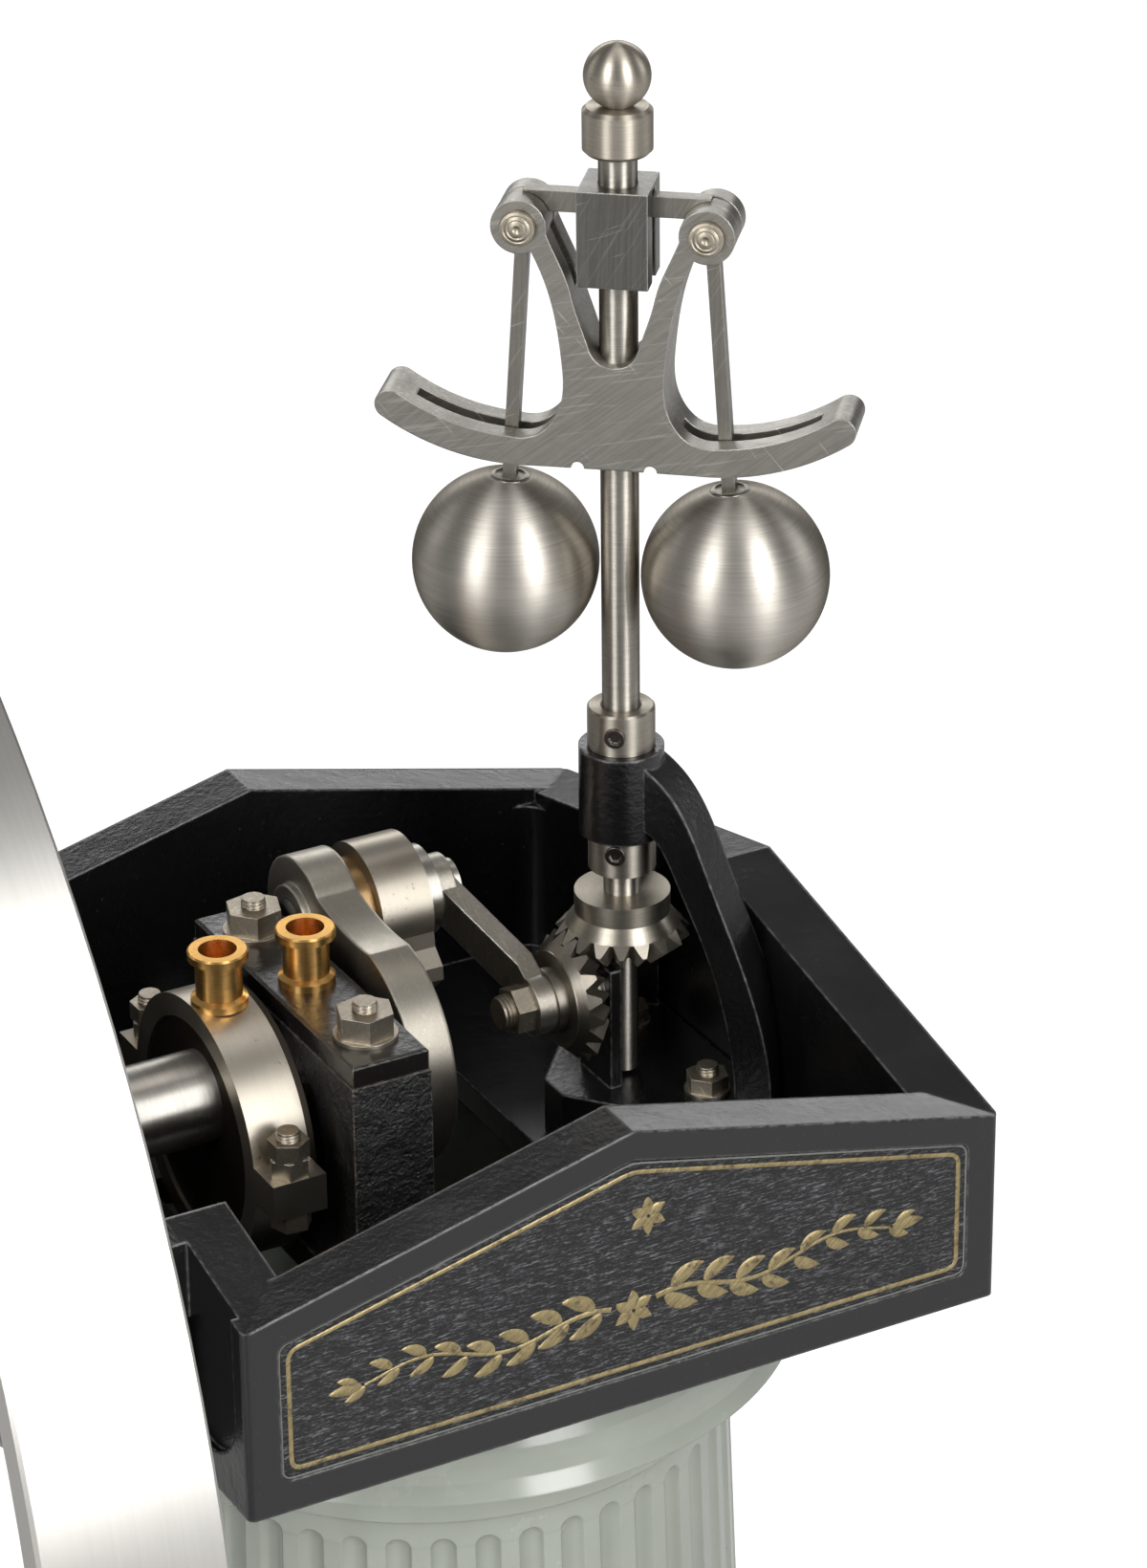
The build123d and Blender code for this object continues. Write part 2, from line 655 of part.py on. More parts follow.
def spokes():
    """Hub and tapered oval spokes in one casting."""
    body = rod_x(HUB_START, HUB_END, HUB_R)
    middle = (WHEEL_START + WHEEL_END) / 2
    near = spoke_section(HUB_R - SPOKE_ROOT, SPOKE_HUB_WIDE, SPOKE_HUB_THICK)
    far = spoke_section(FELLOE_R + SPOKE_ROOT, SPOKE_RIM_WIDE, SPOKE_RIM_THICK)
    spoke = Solid.make_loft([near, far], True)
    for i in range(SPOKES):
        turn = SPOKE_PHASE - 90 + 360.0 * i / SPOKES
        body += Pos(middle, AXIS_Y, AXIS_Z) * Rot(turn, 0, 0) * spoke
    body &= rod_x(HUB_START, HUB_END, FELLOE_R)
    return body - rod_x(HUB_START - 1, HUB_END + 1, SHAFT_R)


save("flywheel_spokes", spokes())


def crank_web():
    """Waisted web with a large round about the shaft and a small one at the pin."""
    r1 = WEB_BIG_R
    r2 = WEB_SMALL_R
    a1 = math.radians(WEB_BIG_ANGLE)
    a2 = math.radians(WEB_SMALL_ANGLE)
    start = (r1 * math.cos(a1), r1 * math.sin(a1))
    end = (CRANK_THROW + r2 * math.cos(a2), r2 * math.sin(a2))
    mid = ((start[0] + end[0]) / 2, WEB_WAIST)
    upper = ThreePointArc(start, mid, end)
    lower = ThreePointArc((end[0], -end[1]), (mid[0], -mid[1]), (start[0], -start[1]))
    tip = ThreePointArc(end, (CRANK_THROW + r2, 0), (end[0], -end[1]))
    tail = ThreePointArc((start[0], -start[1]), (-r1, 0), start)
    face = make_face(Wire([upper.edge(), tip.edge(), lower.edge(), tail.edge()]))
    body = extrude(face, WEB_THICK)
    body += Pos(0, 0, -WEB_BOSS / 2) * Cylinder(WEB_BOSS_R, WEB_BOSS)
    body += Pos(CRANK_THROW, 0, -WEB_BOSS / 2) * Cylinder(PIN_BOSS_R, WEB_BOSS)
    upright = Rot(CRANK_ANGLE, 0, 0) * Rot(0, 90, 0) * Rot(0, 0, 90)
    return Pos(WEB_START, AXIS_Y, AXIS_Z) * upright * body


boss_start = WEB_START - WEB_BOSS
web = crank_web() - rod_x(boss_start - 1, WEB_START, SHAFT_R)
save("crank_web", web - rod_x(boss_start - 1, WEB_END + 1, PIN_R, PIN_Y, PIN_Z))
pin = rod_x(boss_start, ARM_PIN_X + ARM_THICK + PIN_PROUD, PIN_R, PIN_Y, PIN_Z)
save("crank_pin", pin + rod_x(COLLAR_START, COLLAR_END, COLLAR_R, PIN_Y, PIN_Z))
sheave = rod_x(STRAP_START + SHEAVE_SET_BACK, STRAP_END + FLANGE_GAP, SHEAVE_R, ECC_Y, ECC_Z)
sheave += rod_x(STRAP_END + FLANGE_GAP, STRAP_END + FLANGE_GAP + SHEAVE_FLANGE,
                STRAP_R - FLANGE_SHORT, ECC_Y, ECC_Z)
save("eccentric_sheave", sheave - rod_x(STRAP_START, STRAP_END + STRAP_WIDTH, SHAFT_R))


# Connecting rod, drawn along its own length and set on the crank pin
def rod_lean():
    """Angle that sends the rod from the pin down towards the column axis."""
    return math.degrees(math.asin((PIN_Y - AXIS_Y - ROD_FOOT_OFFSET) / ROD_LENGTH))


def connecting_rod():
    middle = (BIG_END_START + BIG_END_END) / 2
    x0 = BIG_END_START + BIG_END_FLANGE
    body = rod_x(x0, BIG_END_END, BIG_END_R, 0, 0)
    right = [(PALM_NECK_HALF, 0), (PALM_NECK_HALF, -BIG_END_BUSH_R), (PALM_HALF, -PALM_TOP),
             (PALM_HALF, -PALM_BOTTOM), (PALM_UNDER_HALF, -PALM_UNDER)]
    left = [(-y, z) for y, z in right[::-1]]
    body += profile_x(right + left, x0, BIG_END_END)
    body += loft([Pos(middle, 0, -PALM_BOTTOM) * Circle(ROD_TOP_R),
                  Pos(middle, 0, -ROD_LENGTH + ROD_LOW_R) * Circle(ROD_LOW_R)])
    body += rod_x(middle - ROD_EYE_HALF, middle + ROD_EYE_HALF, ROD_EYE_R, 0, -ROD_LENGTH)
    body -= rod_x(x0 - 1, BIG_END_END + 1, BIG_END_BUSH_R, 0, 0)
    body -= rod_x(x0 - 1, BIG_END_END + 1, ROD_EYE_BORE, 0, -ROD_LENGTH)
    return Pos(0, PIN_Y, PIN_Z) * Rot(-rod_lean(), 0, 0) * body


save("connecting_rod", connecting_rod())
bush = rod_x(WEB_END + SIDE_PLAY, BIG_END_START + BIG_END_FLANGE, BUSH_FLANGE_R, PIN_Y, PIN_Z)
bush += rod_x(BIG_END_START + BIG_END_FLANGE, BIG_END_END, BIG_END_BUSH_R, PIN_Y, PIN_Z)
save("big_end_bush", bush - rod_x(WEB_END, BIG_END_END + 1, PIN_R + RUNNING_FIT, PIN_Y, PIN_Z))


# Eccentric strap in two halves, and its rod
SPLIT_Z = ECC_Z + LUG_SPLIT


def strap_ring():
    """Whole strap: a ring about the sheave with a lug at its front and back."""
    ring = rod_x(STRAP_START, STRAP_END, STRAP_R, ECC_Y, ECC_Z)
    ring += block(STRAP_START, STRAP_END - LUG_SIDE, ECC_Y - LUG_REACH, ECC_Y + LUG_REACH,
                  SPLIT_Z - LUG_HEIGHT, SPLIT_Z + LUG_HEIGHT)
    return ring - rod_x(STRAP_START - 1, STRAP_END + 1, SHEAVE_R + STRAP_FIT, ECC_Y, ECC_Z)


def above(z):
    """Space over a level, wide enough to hold the whole strap."""
    far = 2 * LUG_REACH
    return block(STRAP_START - 1, STRAP_END + 1, ECC_Y - far, ECC_Y + far, z, z + far)


save("eccentric_strap_upper", strap_ring() & above(SPLIT_Z))
save("eccentric_strap_lower", strap_ring() - above(SPLIT_Z))
bolts = []
lug_x = STRAP_MID - LUG_SIDE
for side in (-1, 1):
    y = ECC_Y + side * LUG_STUD_Y
    low = SPLIT_Z + LUG_HEIGHT
    middle = low + LUG_NUT_HEIGHT
    high = middle + LUG_NUT_HEIGHT
    stack = hexagon_z(low, middle, LUG_NUT_FLATS, lug_x, y, LUG_NUT_TURNS[0])
    stack += hexagon_z(middle, high, LUG_NUT_FLATS, lug_x, y, LUG_NUT_TURNS[1])
    stack += rod_z(low, high + STUD_PROUD, LUG_STUD_R, lug_x, y)
    bolts.append(stack.solid())
    under = SPLIT_Z - LUG_HEIGHT
    head = hexagon_z(0, LUG_NUT_HEIGHT, LUG_NUT_FLATS, 0, 0, LUG_NUT_TURNS[0])
    bolts.append((Pos(lug_x, y, under) * Rot(180, 0, 0) * head).solid())
save("strap_bolts", Compound(children=bolts))
strap_cup = oil_cup(STRAP_MID, ECC_Y - CUP_OFFSET, ECC_Z + STRAP_R - CUP_SINK)
save("strap_oil_cup", strap_cup - rod_x(STRAP_START - 1, STRAP_END + 1, STRAP_R, ECC_Y, ECC_Z))


def eccentric_rod():
    length = ECC_ROD_LENGTH
    body = loft([Pos(STRAP_MID, 0, -SHEAVE_R) * Circle(ECC_ROD_R + ECC_ROD_TAPER),
                 Pos(STRAP_MID, 0, -length + ECC_ROD_R) * Circle(ECC_ROD_R)])
    body += rod_x(STRAP_MID - ROD_EYE_HALF, STRAP_MID + ROD_EYE_HALF, ROD_EYE_R, 0, -length)
    body -= rod_x(STRAP_START, STRAP_END, ROD_EYE_BORE, 0, -length)
    body -= rod_x(STRAP_START - 1, STRAP_END + 1, STRAP_R, 0, 0)
    return Pos(0, ECC_Y, ECC_Z) * body


save("eccentric_rod", eccentric_rod())


# Arm, short shaft and mitre gears that turn the governor
def drive_arm():
    """Flat arm cranked sideways from the pin to the short shaft."""
    t = ARM_THICK
    top = CRANK_THROW
    high = top - ARM_TOP_STRAIGHT
    points = [(ARM_PIN_X, top), (ARM_PIN_X, high), (ARM_AXIS_X, ARM_STRAIGHT),
              (ARM_AXIS_X, 0), (ARM_AXIS_X + t, 0), (ARM_AXIS_X + t, ARM_STRAIGHT + ARM_BEND),
              (ARM_PIN_X + t, high + ARM_BEND), (ARM_PIN_X + t, top)]
    side = make_face(Polyline(*points, close=True))
    body = extrude(side, ARM_HALF, both=True)
    body += Pos(ARM_PIN_X + t / 2, top, 0) * Rot(0, 90, 0) * Cylinder(ARM_EYE_R, t)
    body += Pos(ARM_AXIS_X + t / 2, 0, 0) * Rot(0, 90, 0) * Cylinder(ARM_BOSS_R, t)
    return Pos(0, AXIS_Y, AXIS_Z) * Rot(CRANK_ANGLE, 0, 0) * body


arm = drive_arm() - rod_x(COLLAR_END, SPINDLE_X, PIN_R, PIN_Y, PIN_Z)
save("drive_arm", arm - rod_x(DRIVE_TIP_X, SPINDLE_X, DRIVE_SHAFT_R))
save("drive_shaft", rod_x(DRIVE_TIP_X, SPINDLE_X - SPINDLE_LOW_R - SHAFT_END_GAP, DRIVE_SHAFT_R))
nut = extrude(RegularPolygon(DRIVE_NUT_FLATS / math.sqrt(3), 6), DRIVE_NUT_THICK)
nut = Pos(DRIVE_NUT_X, AXIS_Y, AXIS_Z) * Rot(DRIVE_NUT_TURN, 0, 0) * Rot(0, 90, 0) * nut
save("drive_nut", nut - rod_x(DRIVE_TIP_X, SPINDLE_X, DRIVE_SHAFT_R))


def mitre_gear(bore, hub_r, back_slope, hub_end, tooth_shift):
    """Straight-toothed bevel gear, apex at the origin, opening along +z."""
    cone = GEAR_PITCH_R * math.sqrt(2)
    k = (cone - GEAR_FACE) / cone
    module = 2 * GEAR_PITCH_R / GEAR_TEETH
    n = math.sqrt(0.5)
    add = ADDENDUM * module
    ded = DEDENDUM * module

    def point(scale, height):
        return (scale * (GEAR_PITCH_R + height * n), scale * (GEAR_PITCH_R - height * n))

    root_out = point(1, -ded)
    root_in = point(k, -ded)
    points = [(bore, root_in[1]), root_in, root_out,
              (hub_r, root_out[1] + (root_out[0] - hub_r) * back_slope),
              (hub_r, hub_end), (bore, hub_end)]
    body = turned(points, 0, 0, 0)
    half = math.pi * module / 4 - GEAR_BACKLASH / 2
    widths = [(-ded - GEAR_BACKLASH, half * ROOT_SHARE), (0, half), (add, half * TIP_SHARE)]
    rings = []
    for scale in (1.0, k):
        left = []
        right = []
        for height, t in widths:
            r, z = point(scale, height)
            right.append(Vector(r, t * scale, z))
            left.append(Vector(r, -t * scale, z))
        rings.append(right + left[::-1])
    tooth = Solid.make_loft([Wire.make_polygon(r, close=True) for r in rings], True)
    for i in range(GEAR_TEETH):
        body += Rot(0, 0, tooth_shift + 360.0 * i / GEAR_TEETH) * tooth
    return body


apex = Pos(SPINDLE_X, AXIS_Y, AXIS_Z)
pinion = mitre_gear(SPINDLE_LOW_R, PINION_HUB_R, PINION_BACK_SLOPE, PINION_HUB_HEIGHT, 0.0)
save("bevel_pinion", apex * pinion)
wheel = mitre_gear(DRIVE_SHAFT_R, WHEEL_HUB_R, WHEEL_BACK_SLOPE, GEAR_BACK, 180.0 / GEAR_TEETH)
boss = rod_z(GEAR_BACK, GEAR_MOUNT - ARM_THICK, WHEEL_BOSS_R, 0, 0)
wheel += boss - rod_z(GEAR_BACK - 1, GEAR_MOUNT, DRIVE_SHAFT_R, 0, 0)
save("bevel_wheel", apex * Rot(0, -90, 0) * wheel)


# Bracket that stands in the trough and holds the spindle
def governor_bracket():
    x = SPINDLE_X
    y = AXIS_Y
    wall = TROUGH_LENGTH - FAR_WALL - BRACKET_GAP
    tip = BRACKET_TIP_X
    outline = [(tip, -BRACKET_TIP_HALF), (BRACKET_CORNER_X, -BRACKET_HALF), (wall, -BRACKET_HALF),
               (wall, BRACKET_HALF), (BRACKET_CORNER_X, BRACKET_HALF), (tip, BRACKET_TIP_HALF)]
    foot = make_face(Polyline(*outline, close=True))
    body = Pos(0, y, FLOOR) * extrude(foot, BRACKET_TOP - FLOOR)
    for turn in (-LEG_AZIMUTH, LEG_AZIMUTH):
        body += leg(turn)
    body += rod_z(BRACKET_BOSS_Z, BRACKET_BOSS_TOP, BRACKET_BOSS_R, x, y)
    body += block(STEADY_FAR - STEADY_THICK, STEADY_FAR, y - STEADY_HALF, y + STEADY_HALF,
                  BRACKET_TOP - 1, AXIS_Z + STEADY_HALF)
    body &= block(tip, wall, 0, TROUGH_WIDTH, FLOOR, BRACKET_BOSS_TOP)
    body -= rod_x(STEADY_FAR - STEADY_HALF, STEADY_FAR + 1, STEADY_BUSH_R)
    body -= rod_z(SPINDLE_FOOT_Z - FOOT_CLEAR, BRACKET_BOSS_TOP + 1, SPINDLE_R + RUNNING_FIT, x, y)
    return body


def leg(turn):
    """Curved leg from the boss out and down to the foot."""
    rise = LEG_TOP_Z - LEG_FOOT_Z
    outer_points = [(r * LEG_REACH, LEG_FOOT_Z + z * rise) for r, z in LEG_OUTER]
    inner_points = [(r * LEG_REACH, LEG_FOOT_Z + z * rise) for r, z in LEG_INNER[::-1]]
    outer = Spline(*outer_points)
    inner = Spline(*inner_points)
    low = Line(outer_points[-1], inner_points[0])
    high = Line(inner_points[-1], outer_points[0])
    face = Plane.XZ * make_face(Wire([outer.edge(), low.edge(), inner.edge(), high.edge()]))
    return Pos(SPINDLE_X, AXIS_Y, 0) * Rot(0, 0, turn) * extrude(face, LEG_HALF, both=True)


save("governor_bracket", governor_bracket())
nuts = [nut_and_stud(BRACKET_NUT_X, AXIS_Y + side * BRACKET_NUT_Y, BRACKET_TOP, BRACKET_NUT_FLATS,
                     BRACKET_NUT_HEIGHT, BRACKET_STUD_R, BRACKET_WASHER_R).solid() for side in (-1, 1)]
save("bracket_nuts", Compound(children=nuts))
steady_bush = rod_x(STEADY_FAR - STEADY_THICK - BUSH_IN, STEADY_FAR + BUSH_IN, STEADY_BUSH_R)
save("bracket_bush", steady_bush - rod_x(ARM_AXIS_X, SPINDLE_X, DRIVE_SHAFT_R + RUNNING_FIT))


# Governor, drawn facing the front and then turned about the spindle
def turned_governor(shape):
    return Pos(SPINDLE_X, AXIS_Y, 0) * Rot(0, 0, GOVERNOR_TURN) * shape


def pin_y(radius, y0, y1, side):
    """Round bar along y through a pivot, between two depths."""
    bar = Rot(90, 0, 0) * Cylinder(radius, y1 - y0)
    return Pos(side * PIVOT_X, (y0 + y1) / 2, PIVOT_Z) * bar


spindle = rod_z(SPINDLE_FOOT_Z, PINION_TOP, SPINDLE_LOW_R, 0, 0)
spindle += rod_z(PINION_TOP, TOP_COLLAR_Z, SPINDLE_R, 0, 0)
save("governor_spindle", turned_governor(spindle))
collars = []
for low, height in ((LOWER_COLLAR_Z, LOWER_COLLAR_HEIGHT), (UPPER_COLLAR_Z, UPPER_COLLAR_HEIGHT)):
    high = low + height
    ring = rod_z(low, high, COLLAR_OUT_R, 0, 0) - rod_z(low - 1, high + 1, SPINDLE_R, 0, 0)
    ring = chamfer(ring.faces().sort_by(Axis.Z)[-1].edges(), COLLAR_BEVEL)
    collars.append(turned_governor(ring).solid())
save("spindle_collars", Compound(children=collars))
cap = rod_z(TOP_COLLAR_Z, TOP_COLLAR_Z + TOP_COLLAR_HEIGHT, COLLAR_OUT_R, 0, 0)
cap = chamfer(cap.edges().filter_by(GeomType.CIRCLE), 2 * COLLAR_BEVEL)
save("finial", turned_governor(cap + Pos(0, 0, FINIAL_Z) * Sphere(FINIAL_R)))


def half_frame():
    """Right half of the frame as a flat plate, thick along y."""
    rise = PIVOT_Z - FRAME_BOTTOM
    r_in = QUADRANT_IN_R
    r_out = QUADRANT_OUT_R
    middle = QUADRANT_END / 2

    def on(radius, degrees):
        a = math.radians(degrees)
        return (PIVOT_X + radius * math.sin(a), PIVOT_Z - radius * math.cos(a))

    def eye(degrees):
        a = math.radians(degrees)
        return (PIVOT_X + PIVOT_RING_R * math.cos(a), PIVOT_Z + PIVOT_RING_R * math.sin(a))

    def horn(shares):
        return [(x * PIVOT_X, FRAME_BOTTOM + z * rise) for x, z in shares]

    notch = horn(HORN_INNER)
    foot = (0, FRAME_BOTTOM)
    edges = [Spline(*notch, eye(EYE_INNER)),
             ThreePointArc(eye(EYE_INNER), eye((EYE_INNER + EYE_OUTER) / 2), eye(EYE_OUTER)),
             Spline(eye(EYE_OUTER), *horn(HORN_OUTER), on(r_in, WAIST_ANGLE)),
             ThreePointArc(on(r_in, WAIST_ANGLE), on(r_in, middle), on(r_in, QUADRANT_END)),
             ThreePointArc(on(r_in, QUADRANT_END), on((r_in + r_out) / 2, QUADRANT_END + QUADRANT_TIP),
                           on(r_out, QUADRANT_END)),
             ThreePointArc(on(r_out, QUADRANT_END), on(r_out, middle), on(r_out, QUADRANT_START)),
             Line(on(r_out, QUADRANT_START), foot),
             Line(foot, notch[0])]
    face = Plane.XZ * make_face(Wire([e.edge() for e in edges]))
    return extrude(face, FRAME_DEPTH / 2, both=True)


def governor_frame():
    """Horns, waist and quadrant arms of the frame, slotted for the ball arms."""
    half = half_frame()
    body = half + mirror(half, Plane.YZ)
    reach = PIVOT_X + 2 * PIVOT_RING_R
    around = 2 * PIVOT_RING_R + PIVOT_PIN_R
    deep = FRAME_DEPTH
    body -= block(-reach, reach, -ARM_SLOT / 2, ARM_SLOT / 2, PIVOT_Z - around, PIVOT_Z + around)
    body -= rod_z(FRAME_BOTTOM - 1, PIVOT_Z, SPINDLE_R, 0, 0)
    for side in (-1, 1):
        body -= pin_y(PIVOT_PIN_R, -deep, deep, side)
        body -= quadrant_slot(side)
        body -= Pos(side * BITE_X, 0, FRAME_BOTTOM) * Rot(90, 0, 0) * Cylinder(BITE_R, 2 * deep)
    return body


def quadrant_slot(side):
    """Slot that a ball arm sweeps through, cut about the pivot."""
    end = QUADRANT_END - SLOT_MARGIN
    far = QUADRANT_OUT_R + SLOT_CLEAR
    points = [(PIVOT_X, PIVOT_Z)]
    for turn in (SLOT_START, (SLOT_START + end) / 2, end):
        a = math.radians(turn)
        points.append((PIVOT_X + far * math.sin(a), PIVOT_Z - far * math.cos(a)))
    if side < 0:
        points = [(-x, z) for x, z in points]
    return profile_y(points, -ARM_SLOT / 2, ARM_SLOT / 2)


save("governor_frame", turned_governor(governor_frame()))
pins = []
for side in (-1, 1):
    edge = FRAME_DEPTH / 2
    bar = pin_y(PIVOT_PIN_R, -edge, edge, side)
    bar += pin_y(PIN_HEAD_R, edge, edge + PIN_HEAD, side)
    bar += pin_y(PIN_HEAD_R, -edge - PIN_HEAD, -edge, side)
    pins.append(turned_governor(bar).solid())
save("pivot_pins", Compound(children=pins))


def ball_line():
    """Length and direction of the line from a pivot to the middle of its ball."""
    dx = BALL_X - PIVOT_X
    dz = BALL_Z - PIVOT_Z
    length = math.hypot(dx, dz)
    return length, dx / length, dz / length


def ball_arm(side):
    """Bell crank: a ring on the pin, a long flat leg and a short level leg."""
    t = LEG_THICK / 2
    h = BALL_LEG_HALF
    length, ux, uz = ball_line()
    end = length - BALL_R + BALL_FLAT
    body = pin_y(PIVOT_RING_R - EYE_SHORT, -t, t, 1)
    points = [(-uz * h, ux * h), (ux * end - uz * h, uz * end + ux * h),
              (ux * end + uz * h, uz * end - ux * h), (uz * h, -ux * h)]
    body += profile_y([(PIVOT_X + x, PIVOT_Z + z) for x, z in points], -t, t)
    body += block(LEG_TIP_X, PIVOT_X, -t, t, LEG_Z - LEG_HEIGHT / 2, LEG_Z + LEG_HEIGHT / 2)
    body -= pin_y(PIVOT_PIN_R + RUNNING_FIT, -FRAME_DEPTH, FRAME_DEPTH, 1)
    if side < 0:
        body = mirror(body, Plane.YZ)
    return turned_governor(body)


def ball(side):
    """Ball with a small flat where its arm ends."""
    length, ux, uz = ball_line()
    lean = math.degrees(math.atan2(ux, -uz))
    cut = BALL_R - BALL_FLAT
    sphere = Sphere(BALL_R) - Pos(0, 0, cut + BALL_R) * Box(2 * BALL_R, 2 * BALL_R, 2 * BALL_R)
    return turned_governor(Pos(side * BALL_X, 0, BALL_Z) * Rot(0, -side * lean, 0) * sphere)


for side, name in ((-1, "left"), (1, "right")):
    save(name + "_ball_arm", ball_arm(side))
    save(name + "_ball", ball(side))


def governor_sleeve():
    """Sliding block with a pocket in each side for the level leg of an arm."""
    half = ARM_SLOT / 2
    body = block(-BLOCK_X / 2, BLOCK_X / 2, -BLOCK_Y / 2, BLOCK_Y / 2, SLEEVE_FOOT, SLEEVE_TOP)
    body -= rod_z(SLEEVE_FOOT - 1, SLEEVE_TOP + 1, SPINDLE_R + SLEEVE_FIT, 0, 0)
    body -= block(POCKET_X, BLOCK_X, -half, half, SLEEVE_FOOT - 1, POCKET_TOP)
    body -= block(-BLOCK_X, -POCKET_X, -half, half, SLEEVE_FOOT - 1, POCKET_TOP)
    return turned_governor(body)


save("governor_sleeve", governor_sleeve())
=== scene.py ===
# %% [markdown]
# # A model stationary engine on a fluted column
#
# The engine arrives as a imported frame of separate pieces: trough, column, crankshaft, governor.
# Every piece is already at its real place, so this lesson gives each one its finish, and adds
# the small things that are too fine for the frame: flutes, screw threads, grub screws, a gold
# line. The frame is in metres, +Z is up, and the front plate faces -Y. The object's numbers
# below are millimetres, as on a maker's drawing, and MM turns them into metres at the last
# step. Lamps and the floor are in metres.

# %% Load the frame
import json
import math

import bmesh
import bpy
import numpy as np
from mathutils import Matrix, Vector


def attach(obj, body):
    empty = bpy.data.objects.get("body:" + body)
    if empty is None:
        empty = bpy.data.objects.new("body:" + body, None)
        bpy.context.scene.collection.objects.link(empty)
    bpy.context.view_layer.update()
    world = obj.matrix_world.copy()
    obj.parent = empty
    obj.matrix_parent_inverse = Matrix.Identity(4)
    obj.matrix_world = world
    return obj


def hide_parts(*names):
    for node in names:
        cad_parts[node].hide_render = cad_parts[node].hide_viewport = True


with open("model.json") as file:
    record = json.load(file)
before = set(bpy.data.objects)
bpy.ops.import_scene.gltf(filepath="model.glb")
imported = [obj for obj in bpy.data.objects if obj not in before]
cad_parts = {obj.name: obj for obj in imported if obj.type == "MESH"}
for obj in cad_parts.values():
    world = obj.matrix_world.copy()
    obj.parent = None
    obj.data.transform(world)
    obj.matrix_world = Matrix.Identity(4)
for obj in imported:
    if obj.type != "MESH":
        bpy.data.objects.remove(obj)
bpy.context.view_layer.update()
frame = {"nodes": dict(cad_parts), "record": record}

MM = 0.001
nodes = frame["nodes"]

# %% [markdown]
# ## The main axes
#
# Patterns and small pieces are placed from the same few lines as the frame: the crankshaft along
# X, the crank pin and the eccentric beside it, and the governor's upright spindle. Writing these
# lines once keeps every groove and screw on the piece that it belongs to.

# %% Main axes
COLUMN_TOP = 240.0
SHAFT_Z = COLUMN_TOP + 23.5
CRANK_THROW = 20.0
CRANK_ANGLE = math.radians(31.0)
ECCENTRIC_THROW = 5.3
ECCENTRIC_ANGLE = math.radians(-73.6)
SPINDLE_X = 28.704
GOVERNOR_TURN = math.radians(-39.5)
PIVOT_REACH = 11.2
PIVOT_Z = COLUMN_TOP + 124.7
BALL_REACH = 14.1
BALL_Z = COLUMN_TOP + 80.4


def beside(throw, angle):
    """Point in (x, y, z) at a throw from the shaft line: y = r cos a, z = z0 + r sin a."""
    return (0.0, throw * math.cos(angle), SHAFT_Z + throw * math.sin(angle))


SHAFT = (0.0, 0.0, SHAFT_Z)
PIN = beside(CRANK_THROW, CRANK_ANGLE)
ECCENTRIC = beside(ECCENTRIC_THROW, ECCENTRIC_ANGLE)
SPINDLE = (SPINDLE_X, 0.0, COLUMN_TOP)
print("crank pin at", [round(v, 2) for v in PIN])

# %% [markdown]
# ## The camera
#
# The viewpoint was solved from the straight edges of the trough, so it is written as a real
# place in the room and three turns. The lens follows from the focal length in pixels: a sensor
# 36 mm along the long side of a picture 1640 pixels tall. The eye is far away with a long lens,
# as a product photographer stands, which keeps the near corner of the trough from swelling.

# %% Camera
EYE = np.array([-263.84, -527.28, 590.68]) * MM
YAW = math.radians(-28.46)
PITCH = math.radians(26.42)
ROLL = math.radians(-0.60)
FOCAL_PIXELS = 5716.0
IMAGE_HEIGHT = 1640.0
SENSOR = 36.0
NEAR_CLIP, FAR_CLIP = 0.01, 60.0  # metres


def camera_axes(yaw, pitch, roll):
    """Right, up and forward: forward is turned by yaw and dipped by pitch, then the others roll."""
    level = math.cos(pitch)
    forward = np.array([-math.sin(yaw) * level, math.cos(yaw) * level, -math.sin(pitch)])
    right = np.array([math.cos(yaw), math.sin(yaw), 0.0])
    up = np.cross(right, forward)
    rolled_right = math.cos(roll) * right + math.sin(roll) * up
    rolled_up = math.cos(roll) * up - math.sin(roll) * right
    return rolled_right, rolled_up, forward


def stand(right, up, forward, where):
    """Matrix whose columns are the axes of a camera or lamp that looks along forward."""
    matrix = np.eye(4)
    matrix[:3, 0] = right
    matrix[:3, 1] = up
    matrix[:3, 2] = -np.array(forward)
    matrix[:3, 3] = where
    return Matrix(matrix.tolist())


def add_camera():
    """Camera at the eye, with a lens of f = focal pixels x sensor / picture height."""
    data = bpy.data.cameras.new("camera")
    data.sensor_width = SENSOR
    data.lens = FOCAL_PIXELS * SENSOR / IMAGE_HEIGHT
    data.clip_start = NEAR_CLIP
    data.clip_end = FAR_CLIP
    camera = bpy.data.objects.new("camera", data)
    bpy.context.scene.collection.objects.link(camera)
    camera.matrix_world = stand(*camera_axes(YAW, PITCH, ROLL), EYE)
    bpy.context.scene.camera = camera
    return camera


camera = add_camera()
print("lens in mm:", round(camera.data.lens, 1))

# %% [markdown]
# ## Helpers for nodes
#
# A finish is a small network of nodes. One helper adds a node and fills its sockets with values
# or links, and the next ones wrap the arithmetic. All patterns read Object coordinates, in
# millimetres, so they have their real size and stay on a piece when it moves.

# %% Node helpers


def node(tree, kind, inputs=None, **settings):
    """Add a node, set its properties, and give each named socket a value or a link."""
    made = tree.nodes.new(kind)
    for key, value in settings.items():
        setattr(made, key, value)
    for key, value in (inputs or {}).items():
        socket = made.inputs[key]
        if isinstance(value, bpy.types.NodeSocket):
            tree.links.new(value, socket)
        else:
            socket.default_value = value
    return made


def math_node(tree, operation, first, second=0.0):
    """Sum, product or other result of two numbers."""
    return node(tree, "ShaderNodeMath", {0: first, 1: second}, operation=operation).outputs[0]


